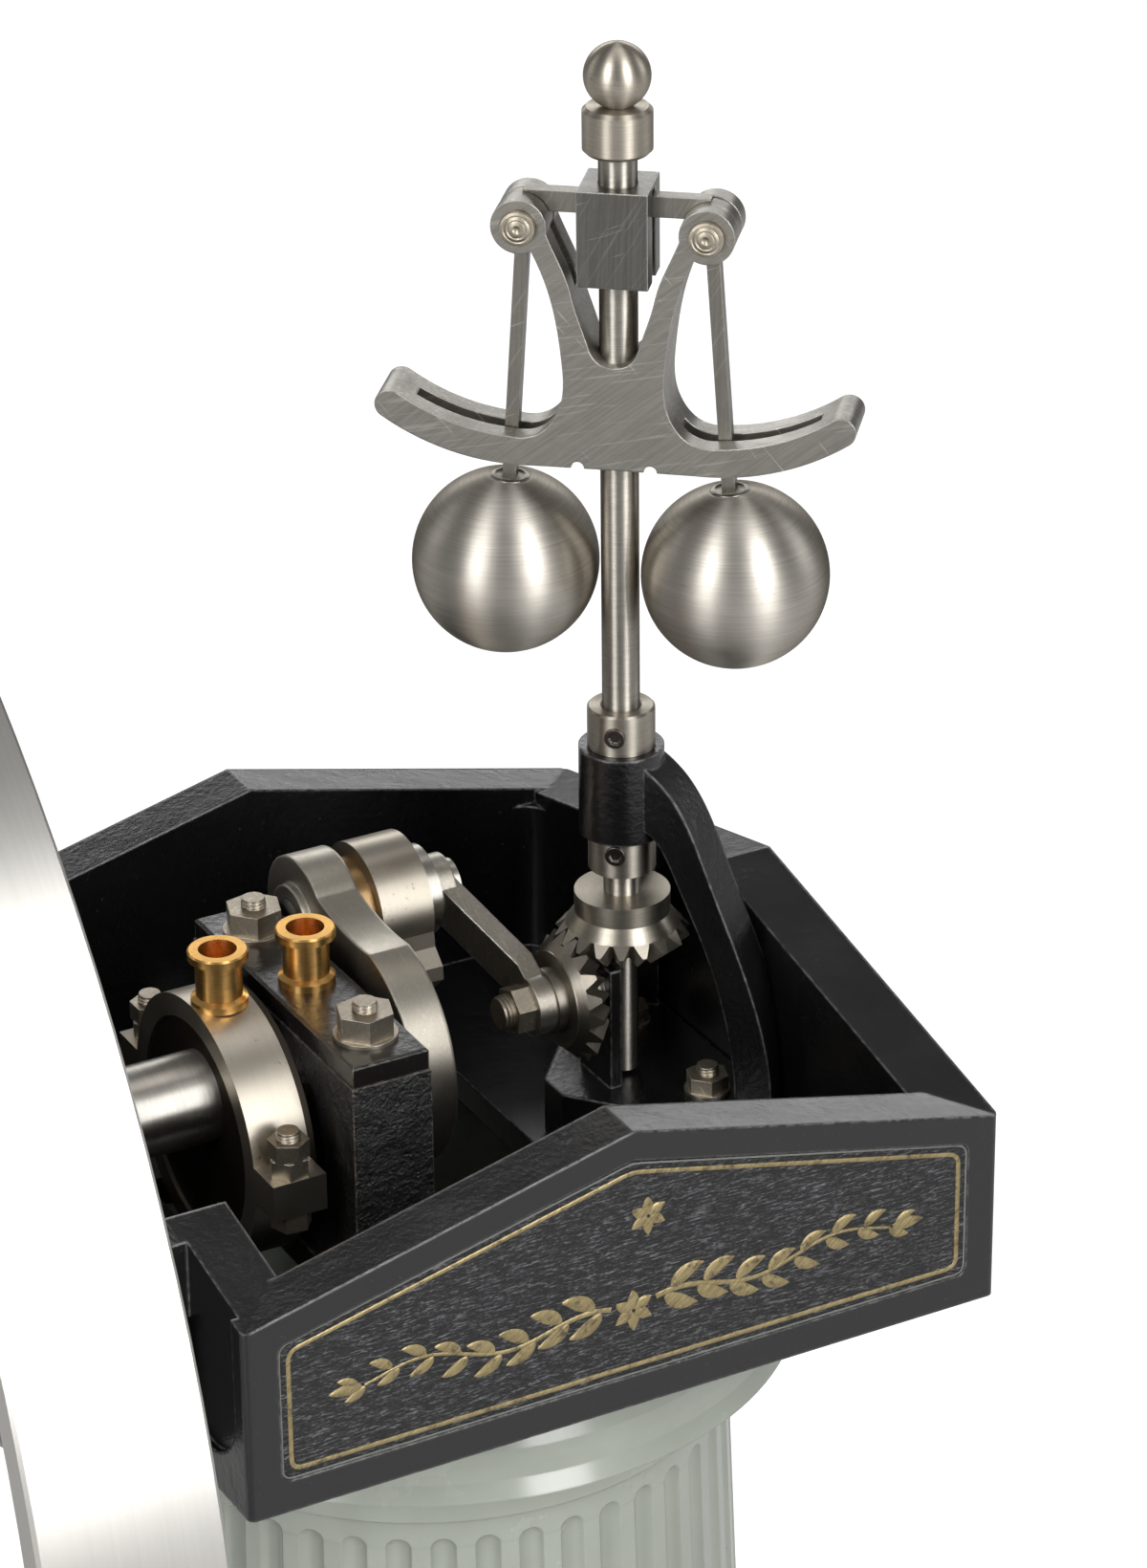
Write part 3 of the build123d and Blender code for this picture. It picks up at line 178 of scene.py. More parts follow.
def vector_node(tree, operation, first, second=(0, 0, 0)):
    """Result of two vectors: a number for a length or a dot product, otherwise a vector."""
    made = node(tree, "ShaderNodeVectorMath", {0: first, 1: second}, operation=operation)
    return made.outputs["Value"] if operation in ("LENGTH", "DOT_PRODUCT") else made.outputs[0]


def place(tree, centre=(0, 0, 0), turn=(0, 0, 0), scale=(1, 1, 1)):
    """Object coordinates in millimetres, moved so that the centre is zero, turned, then scaled."""
    source = node(tree, "ShaderNodeTexCoord").outputs["Object"]
    whole = vector_node(tree, "MULTIPLY", source, (1 / MM, 1 / MM, 1 / MM))
    moved = vector_node(tree, "SUBTRACT", whole, centre)
    turned = node(tree, "ShaderNodeMapping", {"Vector": moved, "Rotation": turn}).outputs["Vector"]
    return vector_node(tree, "MULTIPLY", turned, scale)


def new_material(name, **values):
    """Empty material with one Principled shader, its constant sockets set by name."""
    made = bpy.data.materials.new(name)
    made.use_nodes = True
    tree = made.node_tree
    shader = tree.nodes["Principled BSDF"]
    for key, value in values.items():
        shader.inputs[key.replace("_", " ")].default_value = value
    return made, tree, shader


def connect(tree, shader, **links):
    """Join outputs to the shader's sockets, which are named with _ for each space."""
    for key, value in links.items():
        tree.links.new(value, shader.inputs[key.replace("_", " ")])


print("node helpers ready")

# %% [markdown]
# ## Helpers for patterns
#
# Every finish here is built from the same few patterns: smooth noise, a colour that follows it,
# a bump, and a mask that finds the edges. The edge mask compares the surface with a rounded
# copy of itself: where the two lean apart there is an edge, and that is where a finish wears.

# %% Pattern helpers
BEVEL_SAMPLES = 6
EDGE_FULL, EDGE_NONE = 0.80, 0.97  # cosine between the rounded and the real normal


def noise(tree, vector, scale=1.0, detail=3.0, roughness=0.5, distortion=0.0):
    """Smooth cloudy noise from 0 to 1, with one cloud to a millimetre at scale 1."""
    made = node(tree, "ShaderNodeTexNoise", {"Vector": vector, "Scale": scale, "Detail": detail,
                                             "Roughness": roughness, "Distortion": distortion})
    return made.outputs["Fac"]


def ramp(tree, value, stops):
    """Colour that runs through the stops, each a place from 0 to 1 and its colour."""
    made = node(tree, "ShaderNodeValToRGB", {"Fac": value})
    band = made.color_ramp
    while len(band.elements) < len(stops):
        band.elements.new(0.5)
    for element, (position, colour) in zip(band.elements, stops):
        element.position = position
        element.color = (*colour, 1.0)
    return made.outputs["Color"]


def spread(tree, value, low, high, start=0.3, end=0.7):
    """Number that runs from low to high while the value runs from start to end."""
    made = node(tree, "ShaderNodeMapRange", {"Value": value, "From Min": start, "From Max": end,
                                             "To Min": low, "To Max": high})
    return made.outputs[0]


def mix(tree, share, first, second):
    """Second colour laid over the first by a share."""
    made = node(tree, "ShaderNodeMix", {"Factor": share}, data_type="RGBA")
    for socket, value in ((made.inputs[6], first), (made.inputs[7], second)):
        if isinstance(value, bpy.types.NodeSocket):
            tree.links.new(value, socket)
        else:
            socket.default_value = (*value, 1.0)
    return made.outputs[2]


def tint(colour, share):
    """Darker or lighter copy of a colour: each part times the share, at most 1."""
    return tuple(min(1.0, part * share) for part in colour)


def bump(tree, height, distance, normal=None):
    """Normal tilted by a height, whose full step from 0 to 1 is the distance in millimetres."""
    inputs = {"Height": height, "Distance": distance * MM, "Strength": 1.0}
    if normal is not None:
        inputs["Normal"] = normal
    return node(tree, "ShaderNodeBump", inputs).outputs["Normal"]


def edge_mask(tree, radius):
    """One on edges that stand out, zero on flats: how far a rounded normal leaves the real one."""
    rounded = node(tree, "ShaderNodeBevel", {"Radius": radius * MM},
                   samples=BEVEL_SAMPLES).outputs["Normal"]
    real = node(tree, "ShaderNodeNewGeometry").outputs["Normal"]
    same = vector_node(tree, "DOT_PRODUCT", rounded, real)
    return spread(tree, same, 1.0, 0.0, EDGE_FULL, EDGE_NONE), rounded


print("pattern helpers ready")

# %% [markdown]
# ## Turned metal
#
# A lathe leaves grooves that run round the axis. The pattern therefore reads three numbers: how
# far along the axis a point is, how far out from it, and the turn round it. The same grooves
# stretch every highlight across them, which is what makes a turned ball show upright streaks.
# The shader does that with anisotropy about a tangent that runs round the axis. A picture of
# brushed metal would have no axis to turn about.

# %% Turned metal
AXIS_TURNS = {"x": (0.0, -math.pi / 2, 0.0), "z": (0.0, 0.0, 0.0)}
AXIS_LINES = {"x": (1.0, 0.0, 0.0), "z": (0.0, 0.0, 1.0)}
QUARTER_TURN = 0.25  # highlights stretch across the grooves, not along them
GROOVE_WANDER = 1.6  # how fast a groove changes on its way round
STAIN_CLOUDS, STAIN_SPECKS = 0.16, 1.7  # a stain shows where both noises are high
STAIN_DULLNESS = 0.25


def grooves(tree, centre, axis, pitch):
    """Noise in (z, cos t, sin t, r): fast along and out from the axis, slow round it."""
    local = place(tree, centre, AXIS_TURNS[axis])
    parts = node(tree, "ShaderNodeSeparateXYZ", {0: local}).outputs
    flat = vector_node(tree, "MULTIPLY", local, (1, 1, 0))
    out = vector_node(tree, "LENGTH", flat)
    unit = vector_node(tree, "NORMALIZE", flat)
    round_it = node(tree, "ShaderNodeSeparateXYZ", {0: unit}).outputs
    vector = node(tree, "ShaderNodeCombineXYZ", {
        0: math_node(tree, "MULTIPLY", parts[2], 1 / pitch),
        1: math_node(tree, "MULTIPLY", round_it[0], GROOVE_WANDER),
        2: math_node(tree, "MULTIPLY", round_it[1], GROOVE_WANDER)}).outputs[0]
    fourth = math_node(tree, "MULTIPLY", out, 1 / pitch)
    made = node(tree, "ShaderNodeTexNoise", {"Vector": vector, "W": fourth, "Scale": 1.0,
                                             "Detail": 3.0}, noise_dimensions="4D")
    return made.outputs["Fac"]


def round_tangent(tree, centre, axis):
    """Direction round the axis in the room: t = a x (p - c)."""
    away = place(tree, centre)
    local = vector_node(tree, "CROSS_PRODUCT", AXIS_LINES[axis], away)
    made = node(tree, "ShaderNodeVectorTransform", {0: local}, vector_type="VECTOR",
                convert_from="OBJECT", convert_to="WORLD")
    return vector_node(tree, "NORMALIZE", made.outputs[0])


def turned_metal(name, colour, rough, centre, axis, pitch=0.12, depth=0.0016, streak=0.7,
                 stain=0.16, stain_colour=(0.20, 0.13, 0.07), line=0.10, cloud=0.08, painted_limb_shade=0.55):
    """Turned metal: grooves, streaked highlights, stains, and a painted dark limb where it turns
    away.
    """
    # The specular tint darkens grazing reflections: painted shade on the limb.
    made, tree, shader = new_material(name, Metallic=1.0, Anisotropic=streak,
                                      Anisotropic_Rotation=QUARTER_TURN,
                                      Specular_Tint=(painted_limb_shade, painted_limb_shade, painted_limb_shade, 1.0))
    lines = grooves(tree, centre, axis, pitch)
    clouds = noise(tree, place(tree), STAIN_CLOUDS, 3.0, 0.5)
    specks = noise(tree, place(tree), STAIN_SPECKS, 5.0, 0.65)
    base = ramp(tree, lines, ((0.3, tint(colour, 1.0 - line)), (0.7, tint(colour, 1.0 + line))))
    spots = math_node(tree, "MULTIPLY", spread(tree, specks, 0.0, 1.0, 0.60, 0.72),
                      spread(tree, clouds, 0.0, stain * 3, 0.45, 0.75))
    shade = mix(tree, spots, base, stain_colour)
    polish = spread(tree, clouds, rough * (1 - cloud), rough * (1 + cloud))
    dulled = math_node(tree, "MULTIPLY", spots, STAIN_DULLNESS)
    connect(tree, shader, Base_Color=shade, Roughness=math_node(tree, "ADD", polish, dulled),
            Normal=bump(tree, lines, depth), Tangent=round_tangent(tree, centre, axis))
    return made


print("turned metal ready")

# %% [markdown]
# ## Ground and blackened metal
#
# Flat pieces were drawn over a stone: fine parallel scratches, with a few deeper ones across
# them from being handled. Noise that is stretched a long way along one line gives such
# scratches. The pieces' edges are worn to thin bright lines, which the edge mask paints.

# %% Ground metal
SCRATCH_STRETCH = 0.08
SCRATCH_FINENESS = (3.2, 2.4, 1.8)  # main grain, fine scratches across, deep scratches
DEEP_SHARE = 0.8
WORN_STEEL = (0.84, 0.81, 0.75)


def lay(direction):
    """Turn that brings a direction in the room onto X, so that a grain can run along it."""
    return tuple(Vector(direction).rotation_difference(Vector((1, 0, 0))).to_euler("XYZ"))


def scratches(tree, direction, fine):
    """Fine parallel lines: noise stretched along one direction of the turned coordinates."""
    coordinates = place(tree, turn=lay(direction), scale=(SCRATCH_STRETCH, fine, fine))
    return noise(tree, coordinates, 1.0, 3.0, 0.6)


def ground_metal(name, colour, rough, directions, depth, edge, edge_width, grain):
    """Ground metal with a main grain, two rarer sets of scratches, and bright worn edges."""
    made, tree, shader = new_material(name, Metallic=1.0)
    main, second, third = (scratches(tree, d, f) for d, f in zip(directions, SCRATCH_FINENESS))
    fine_cross = spread(tree, second, 0.0, 1.0, 0.58, 0.66)
    deep_cross = spread(tree, third, 0.0, 1.0, 0.66, 0.70)
    clouds = noise(tree, place(tree), 0.25, 5.0, 0.62)
    base = mix(tree, spread(tree, clouds, 0.0, 1.0), tint(colour, 0.85), colour)
    base = mix(tree, spread(tree, main, 0.0, grain, 0.42, 0.62), base, tint(colour, 0.40))
    base = mix(tree, math_node(tree, "MULTIPLY", fine_cross, grain), base, tint(colour, 1.9))
    base = mix(tree, math_node(tree, "MULTIPLY", deep_cross, grain * 1.6), base,
               tint(colour, 2.4))
    mask, rounded = edge_mask(tree, edge_width)
    shade = mix(tree, math_node(tree, "MULTIPLY", mask, edge), base, WORN_STEEL)
    height = math_node(tree, "SUBTRACT", main, math_node(tree, "MULTIPLY", deep_cross, DEEP_SHARE))
    connect(tree, shader, Base_Color=shade,
            Roughness=spread(tree, clouds, rough * 1.12, rough * 0.9),
            Normal=bump(tree, height, depth, rounded))
    return made


print("ground metal ready")

# %% [markdown]
# ## Paint
# The casting was painted by hand. Gloss black has a slow orange-peel wave and fine brush marks,
# and its edges have worn to bright metal in thin broken lines. On the trough and the column these
# light edge lines are partly a painted highlight along rounded edges. The column's grey green is
# smoother, with a few dark pits, and painted shade darkens its flutes and other hollows. Ambient
# occlusion finds those hollows, because a hollow sees less of the sky than a ridge does.

# %% Paint
HOLLOW_SHADE_REACH = 3.0
COAT_ROUGHNESS = 0.14
BRUSH_TURN, BRUSH_SCALE = (0.0, 0.24, 0.0), (0.5, 5.0, 5.0)
BRUSH_SHARE, LUMP_SHARE = 0.20, 1.6  # heights beside that of the orange peel
DUST_COLOUR = (0.25, 0.24, 0.22)


def painted_hollow_shade(tree, base, colour, hollow_shade):
    """Painted shade: darker paint where a point sees little open sky within the reach."""
    open_sky = node(tree, "ShaderNodeAmbientOcclusion", {"Distance": HOLLOW_SHADE_REACH * MM},
                    samples=8).outputs["AO"]
    return mix(tree, spread(tree, open_sky, hollow_shade, 0.0, 0.35, 0.95), base, tint(colour, 0.45))


def enamel(name, colour, rough, peel, peel_size, coat=0.0, gloss=0.5, edge=0.0,
           edge_colour=(0.30, 0.29, 0.28), edge_width=0.5, pit=0.0, dust=0.0, hollow_shade=0.0):
    """Enamel: skin waves, brush marks, pits, dust, edge wear and painted highlight, painted hollow
    shade.
    """
    made, tree, shader = new_material(name, Coat_Weight=coat, Coat_Roughness=COAT_ROUGHNESS,
                                      Specular_IOR_Level=gloss)
    waves = noise(tree, place(tree), 1 / peel_size, 4.0, 0.6)
    lumps = noise(tree, place(tree), 0.2 / peel_size, 2.0, 0.5)
    brushed = noise(tree, place(tree, turn=BRUSH_TURN, scale=BRUSH_SCALE), 1.0, 3.0, 0.6)
    clouds = noise(tree, place(tree), 0.07, 4.0, 0.6)
    base = mix(tree, spread(tree, clouds, 0.0, 1.0), tint(colour, 0.88), colour)
    specks = spread(tree, noise(tree, place(tree), 2.2, 3.0, 0.7), 0.0, dust, 0.68, 0.76)
    base = mix(tree, specks, base, DUST_COLOUR)
    height = math_node(tree, "ADD", waves, math_node(tree, "MULTIPLY", brushed, BRUSH_SHARE))
    height = math_node(tree, "ADD", height, math_node(tree, "MULTIPLY", lumps, LUMP_SHARE))
    holes = spread(tree, noise(tree, place(tree), 0.55, 5.0, 0.75), 0.0, pit, 0.70, 0.75)
    base = mix(tree, holes, base, tint(colour, 0.25))
    mask, rounded = edge_mask(tree, edge_width)
    broken = spread(tree, noise(tree, place(tree), 0.8, 4.0, 0.65), 0.15, 1.0, 0.40, 0.62)
    # Edge lines: partly wear, partly a painted highlight along glossy rounded edges.
    worn = math_node(tree, "MULTIPLY", math_node(tree, "MULTIPLY", mask, broken), edge)
    # Painted shade: the paint is darkened in hollows that see little open sky.
    if hollow_shade:
        base = painted_hollow_shade(tree, base, colour, hollow_shade)
    connect(tree, shader, Base_Color=mix(tree, worn, base, edge_colour),
            Roughness=spread(tree, clouds, rough * 0.85, rough * 1.2),
            Normal=bump(tree, height, peel, rounded))
    return made


print("paint ready")

# %% [markdown]
# ## The ground of the plates
#
# The plates have a dark ground that was dug away between the raised parts, in wavy lines that
# run along the plate. Two noises of different fineness, both stretched along X, are added. The
# same sum lightens the ridges and lifts them, so that colour and relief agree.

# %% Plate ground
WAVE_SHARE, FINE_SHARE = 0.55, 0.45
DIG_DEPTH = 0.22


def grained_slate(name, colour):
    """Dark plate whose ground has wavy dug lines: d = 0.55 wave + 0.45 fine."""
    made, tree, shader = new_material(name, Roughness=0.46, Specular_IOR_Level=0.45)
    wavy = noise(tree, place(tree, scale=(0.5, 1.0, 3.8)), 1.0, 3.0, 0.6, 0.4)
    fine = noise(tree, place(tree, scale=(1.8, 1.0, 6.0)), 1.0, 3.0, 0.65)
    both = math_node(tree, "ADD", math_node(tree, "MULTIPLY", wavy, WAVE_SHARE),
                     math_node(tree, "MULTIPLY", fine, FINE_SHARE))
    dug = spread(tree, both, 0.0, 1.0, 0.42, 0.60)
    stops = ((0.0, tint(colour, 0.35)), (0.55, colour), (1.0, tint(colour, 5.0)))
    connect(tree, shader, Base_Color=ramp(tree, dug, stops), Normal=bump(tree, dug, DIG_DEPTH))
    return made


print("plate ground ready")

# %% [markdown]
# ## Finishes
#
# First come the lines that the finishes follow: the grain of the ground pieces, given as
# directions in the room, and the middles of the turned ones.

# %% Grain and middles
STEEL = (0.56, 0.535, 0.490)
WARM_STEEL = (0.50, 0.455, 0.385)
RUST = (0.20, 0.085, 0.03)
GOVERNOR_ALONG = np.array([math.cos(GOVERNOR_TURN), math.sin(GOVERNOR_TURN), 0.0])
GOVERNOR_OUT = np.array([-math.sin(GOVERNOR_TURN), math.cos(GOVERNOR_TURN), 0.0])


def across_governor(degrees):
    """Direction in the governor's own plane, at an angle from its level line."""
    a = math.radians(degrees)
    return GOVERNOR_ALONG * math.cos(a) + np.array([0.0, 0.0, 1.0]) * math.sin(a)


def ball_centre(side):
    """Middle of a ball: p = spindle + side x reach along the governor's turned line."""
    reach = BALL_REACH * side
    return (SPINDLE_X + reach * math.cos(GOVERNOR_TURN), reach * math.sin(GOVERNOR_TURN), BALL_Z)


DIAGONAL = (across_governor(38), across_governor(12), across_governor(-50))
UPRIGHT = (across_governor(88), across_governor(60), across_governor(20))
CRANK_GRAIN = ((0.0, 0.35, -1.0), (0.0, 1.0, 0.3), (0.0, 1.0, -0.6))
ANY_GRAIN = ((1.0, 0.4, 0.3), (0.2, 1.0, -0.4), (-0.5, 0.4, 1.0))
BEARING_CUP = (-14.75, 0.6, COLUMN_TOP + 35.0)
STRAP_CUP = (-26.3, 0.9, COLUMN_TOP + 34.9)
print("balls at", [round(v, 1) for v in ball_centre(-1)], [round(v, 1) for v in ball_centre(1)])

# %% [markdown]
# Each slot of the record gets one finish. The trough is nearly black, and its look comes almost
# wholly from what its gloss mirrors. The bearing blocks have the same paint over rough castings,
# so their peel is about five times as deep and half the size.

# %% Finish of each slot


def cup_brass(name, centre):
    """Warm brass, turned about the upright line of one oil cup, with browned spots."""
    return turned_metal(name, (0.88, 0.52, 0.175), 0.28, centre, "z", pitch=0.35, depth=0.006,
                        streak=0.6, stain=0.30, stain_colour=(0.36, 0.11, 0.035))


finishes = {
    # The column's paint gets painted shade in its flutes and hollows, and its pale edge lines are
    # partly painted highlight.
    "column_paint": enamel(
        "column_paint", (0.40, 0.43, 0.375), 0.24, peel=0.02, peel_size=1.8, coat=0.7, pit=0.6,
        edge=0.25, edge_colour=(0.75, 0.77, 0.72), edge_width=0.4, hollow_shade=0.9),
    # The trough's light edge lines are partly wear and partly a painted highlight on its glossy
    # edges.
    "trough_enamel": enamel(
        "trough_enamel", (0.0050, 0.0048, 0.0052), 0.24, peel=0.065, peel_size=0.8, gloss=0.74,
        edge=0.75, edge_colour=(0.26, 0.25, 0.25), edge_width=0.6, dust=0.3),
    "bearing_black": enamel(
        "bearing_black", (0.009, 0.0085, 0.008), 0.28, peel=0.36, peel_size=0.42, gloss=0.9,
        edge=0.9, edge_colour=(0.36, 0.30, 0.25), edge_width=0.35, dust=0.7),
    "plate_slate": grained_slate("plate_slate", (0.034, 0.034, 0.036)),
    "bright_steel": turned_metal("bright_steel", STEEL, 0.42, SHAFT, "x", streak=0.8),
    "ground_steel": ground_metal(
        "ground_steel", (0.38, 0.365, 0.33), 0.38, DIAGONAL, depth=0.003, edge=0.6,
        edge_width=0.25, grain=0.30),
    "ball_steel": turned_metal("ball_steel", (0.52, 0.50, 0.47), 0.52, SPINDLE, "z", streak=0.95),
    "fastener_steel": ground_metal(
        "fastener_steel", (0.48, 0.425, 0.340), 0.42, ANY_GRAIN, depth=0.0015, edge=0.8,
        edge_width=0.10, grain=0.22),
    "rim_steel": turned_metal(
        "rim_steel", (0.64, 0.625, 0.59), 0.36, SHAFT, "x", pitch=0.5, depth=0.0006, streak=0.7,
        line=0.03, stain=0.0, cloud=0.02),
    "wheel_paint": enamel(
        "wheel_paint", (0.030, 0.008, 0.007), 0.30, peel=0.03, peel_size=1.2, coat=0.4),
    "brass": cup_brass("brass", BEARING_CUP),
    "bronze": turned_metal("bronze", (0.42, 0.27, 0.13), 0.38, PIN, "x"),
}
print("finishes:", len(finishes))

# %% [markdown]
# Then come finer choices for single pieces. Turned ones need grooves about their own axis: the
# balls about their own upright lines, the strap about the eccentric, the rod about the crank
# pin. The sheave is made near black, as painted shade for its recess inside the strap, and the
# sleeve is darker than the frame round it.

# %% Finish of single pieces


def ball_steel(name, side):
    """Polished ball: strong streaks from pole to pole, and a limb painted nearly black as shade."""
    return turned_metal(name, (0.57, 0.535, 0.48), 0.46, ball_centre(side), "z", pitch=0.16,
                        depth=0.0026, streak=0.76, line=0.12, stain=0.15, painted_limb_shade=0.05)


special = {
    "strap_oil_cup": cup_brass("strap_cup_brass", STRAP_CUP),
    "inner_bearing_cap": enamel(
        "cap_black", (0.010, 0.009, 0.0085), 0.24, peel=0.07, peel_size=0.9, gloss=0.7, edge=1.0,
        edge_colour=(0.40, 0.33, 0.27), edge_width=0.3, dust=0.6),
    # The spindle's limb is painted dark as shade by its specular tint.
    "governor_spindle": turned_metal(
        "spindle_steel", (0.50, 0.47, 0.42), 0.42, SPINDLE, "z", pitch=0.2, depth=0.003,
        streak=0.9, line=0.12, painted_limb_shade=0.1),
    "spindle_collars": turned_metal(
        "collar_steel", (0.45, 0.415, 0.355), 0.40, SPINDLE, "z", pitch=0.2, streak=0.8,
        stain=0.35),
    "bevel_pinion": turned_metal(
        "pinion_steel", (0.42, 0.385, 0.325), 0.38, SPINDLE, "z", pitch=0.2, streak=0.6,
        stain=0.35),
    "finial": turned_metal(
        "finial_steel", WARM_STEEL, 0.42, SPINDLE, "z", pitch=0.15, streak=0.75, stain=0.35,
        stain_colour=RUST),
    "left_ball": ball_steel("left_ball_steel", -1),
    "right_ball": ball_steel("right_ball_steel", 1),
    "connecting_rod": turned_metal(
        "rod_steel", WARM_STEEL, 0.36, PIN, "x", pitch=0.3, depth=0.0006, streak=0.2, stain=0.3,
        stain_colour=RUST, line=0.03),
    "crank_pin": turned_metal("pin_steel", STEEL, 0.36, PIN, "x"),
    "crank_web": ground_metal(
        "web_steel", (0.47, 0.435, 0.37), 0.38, CRANK_GRAIN, depth=0.0012, edge=0.35,
        edge_width=0.5, grain=0.10),
    "eccentric_strap_upper": turned_metal(
        "strap_steel", WARM_STEEL, 0.38, ECCENTRIC, "x", pitch=0.3, depth=0.0006, streak=0.2,
        stain=0.35, stain_colour=RUST, line=0.03),
    # Near-black brown: painted shade for the sheave's face, shaded inside the strap.
    "eccentric_sheave": turned_metal(
        "sheave_painted_shade", (0.050, 0.042, 0.034), 0.50, ECCENTRIC, "x", streak=0.0, stain=0.35,
        stain_colour=(0.13, 0.05, 0.02)),
    "governor_sleeve": ground_metal(
        "sleeve_steel", (0.20, 0.195, 0.178), 0.34, UPRIGHT, depth=0.002, edge=0.9,
        edge_width=0.3, grain=0.32),
    "left_ball_arm": ground_metal(
        "arm_steel", (0.30, 0.285, 0.255), 0.36, UPRIGHT, depth=0.0020, edge=0.6, edge_width=0.2,
        grain=0.25),
    "drive_arm": ground_metal(
        "drive_arm_steel", (0.50, 0.465, 0.40), 0.38, CRANK_GRAIN, depth=0.0018, edge=0.8,
        edge_width=0.3, grain=0.22),
    "bevel_wheel": turned_metal(
        "bevel_wheel_steel", (0.33, 0.30, 0.255), 0.40, SHAFT, "x", streak=0.4, stain=0.3),
}
special["outer_bearing_cap"] = special["inner_bearing_cap"]
special["right_ball_arm"] = special["left_ball_arm"]
special["eccentric_strap_lower"] = special["eccentric_strap_upper"]
for row in frame["record"]["subparts"]:
    mesh = nodes[row["node"]].data
    mesh.materials.clear()
    mesh.materials.append(special.get(row["node"], finishes[row["material_slot"]]))
print("finishes for single nodes:", len(special))

# %% [markdown]
# ## Helpers for new pieces
#
# A new piece is a surface written as a formula over a grid of two numbers, so its points are
# worked out for the whole grid at once. The first number runs along the piece and the second
# round it. A closed row is joined back to its start, and an open end is capped by one face.
# Faces that meet at more than 28 degrees keep a sharp edge between them.

# %% Surface helpers
SHARP_ANGLE = math.radians(28.0)


def grid_faces(rows, columns, start, ring_rows):
    """Quads between neighbours of a grid whose columns close, and caps on its open ends."""
    last = rows if ring_rows else rows - 1
    i = np.arange(last)[:, None]
    j = np.arange(columns)[None, :]
    k = (j + 1) % columns
    after = (i + 1) % rows
    corners = [i * columns + j, i * columns + k, after * columns + k, after * columns + j]
    quads = np.stack(corners, -1) + start
    faces = [tuple(face) for face in quads.reshape(-1, 4).tolist()]
    if not ring_rows:
        faces.append(tuple(range(start + columns - 1, start - 1, -1)))
        faces.append(tuple(range(start + (rows - 1) * columns, start + rows * columns)))
    return faces


def surface(name, grids, body, slot, finish=None, ring_rows=False):
    """Closed shells, each a grid of points (rows, columns, 3) in millimetres, as one mesh."""
    vertices, faces, start = [], [], 0
    for grid in grids:
        rows, columns, _ = grid.shape
        vertices.append(grid.reshape(-1, 3))
        faces += grid_faces(rows, columns, start, ring_rows)
        start += rows * columns
    mesh = bpy.data.meshes.new(name)
    mesh.from_pydata((np.concatenate(vertices) * MM).tolist(), [], faces)
    shell = bmesh.new()
    shell.from_mesh(mesh)
    bmesh.ops.recalc_face_normals(shell, faces=shell.faces)
    shell.to_mesh(mesh)
    shell.free()
    mesh.polygons.foreach_set("use_smooth", np.full(len(mesh.polygons), True))
    mesh.set_sharp_from_angle(angle=SHARP_ANGLE)
    mesh.update()
    piece = bpy.data.objects.new(name, mesh)
    bpy.context.scene.collection.objects.link(piece)
    mesh.materials.append(finish or finishes[slot])
    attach(piece, body)
    return piece


def frame_of(axis):
    """The axis as a unit vector, and two more that are square to it and to each other."""
    axis = np.array(axis, float) / np.linalg.norm(axis)
    side = np.cross(axis, (0, 0, 1) if abs(axis[2]) < 0.9 else (1, 0, 0))
    side /= np.linalg.norm(side)
    return axis, side, np.cross(axis, side)


def round_grid(centre, axis, heights, radii, count):
    """Rings about an axis: p = c + h a + r (u cos t + v sin t), with r a table (rows, columns)."""
    axis, u, v = frame_of(axis)
    t = np.linspace(0, 2 * math.pi, count, endpoint=False)
    ring = u * np.cos(t)[:, None] + v * np.sin(t)[:, None]
    radii = np.broadcast_to(np.asarray(radii, float), (len(heights), count))
    return np.array(centre) + np.asarray(heights)[:, None, None] * axis + radii[..., None] * ring


print("surface helpers ready")

# %% [markdown]
# ## Fluted shaft
#
# The shaft of the column is a cone with forty-four round flutes. A ball-ended cutter of radius R
# ran up each one, so the surface is the cone less the deepest cut at that place. With t the
# distance from a flute's middle line and e the way past the end of the cutter's run, the wall is
# r = min(c, c + o - sqrt(R^2 - t^2 - e^2)), where c is the cone's radius and c + o the cutter's
# middle. One formula for the whole wall avoids forty-four cuts, any of which can fail. The rows
# crowd at the rounded ends, because between them the wall is straight.

# %% Fluted shaft
SHAFT_LOW, SHAFT_HIGH = 44.0, 218.0
FOOT_R, NECK_R, BORE_R = 44.0, 38.2, 35.2
FLUTES = 44
FLUTE_WIDTH, CUTTER_R, FLUTE_END_GAP = 3.3, 1.9, 2.6
FLUTE_STATIONS = 18
EDGE_STEP = 1.04  # the ridge starts this share of the half width from the flute's middle
END_ROWS, PLAIN_ROWS = 22, 6
ROUNDING_START = FLUTE_END_GAP * 0.9
FLUTE_END = FLUTE_END_GAP + CUTTER_R


def flute_columns():
    """Angles round the shaft: each flute has stations inside it and one on each ridge beside."""
    pitch = 2 * math.pi / FLUTES
    edge = FLUTE_WIDTH / 2 / ((FOOT_R + NECK_R) / 2)
    inside = np.linspace(-edge, edge, FLUTE_STATIONS)
    outside = np.array([edge * EDGE_STEP, pitch - edge * EDGE_STEP])
    one = np.concatenate([inside, outside])
    return (np.arange(FLUTES)[:, None] * pitch + one[None, :]).ravel()


def flute_rows():
    """Heights from foot to neck, close together where the flutes' ends are round."""
    end = ROUNDING_START + (FLUTE_END - ROUNDING_START) * np.linspace(0, 1, END_ROWS)
    low = np.concatenate([[0.0], end]) + SHAFT_LOW
    middle = np.linspace(low[-1], SHAFT_HIGH - FLUTE_END, PLAIN_ROWS)[1:-1]
    return np.concatenate([low, middle, SHAFT_LOW + SHAFT_HIGH - low[::-1]])


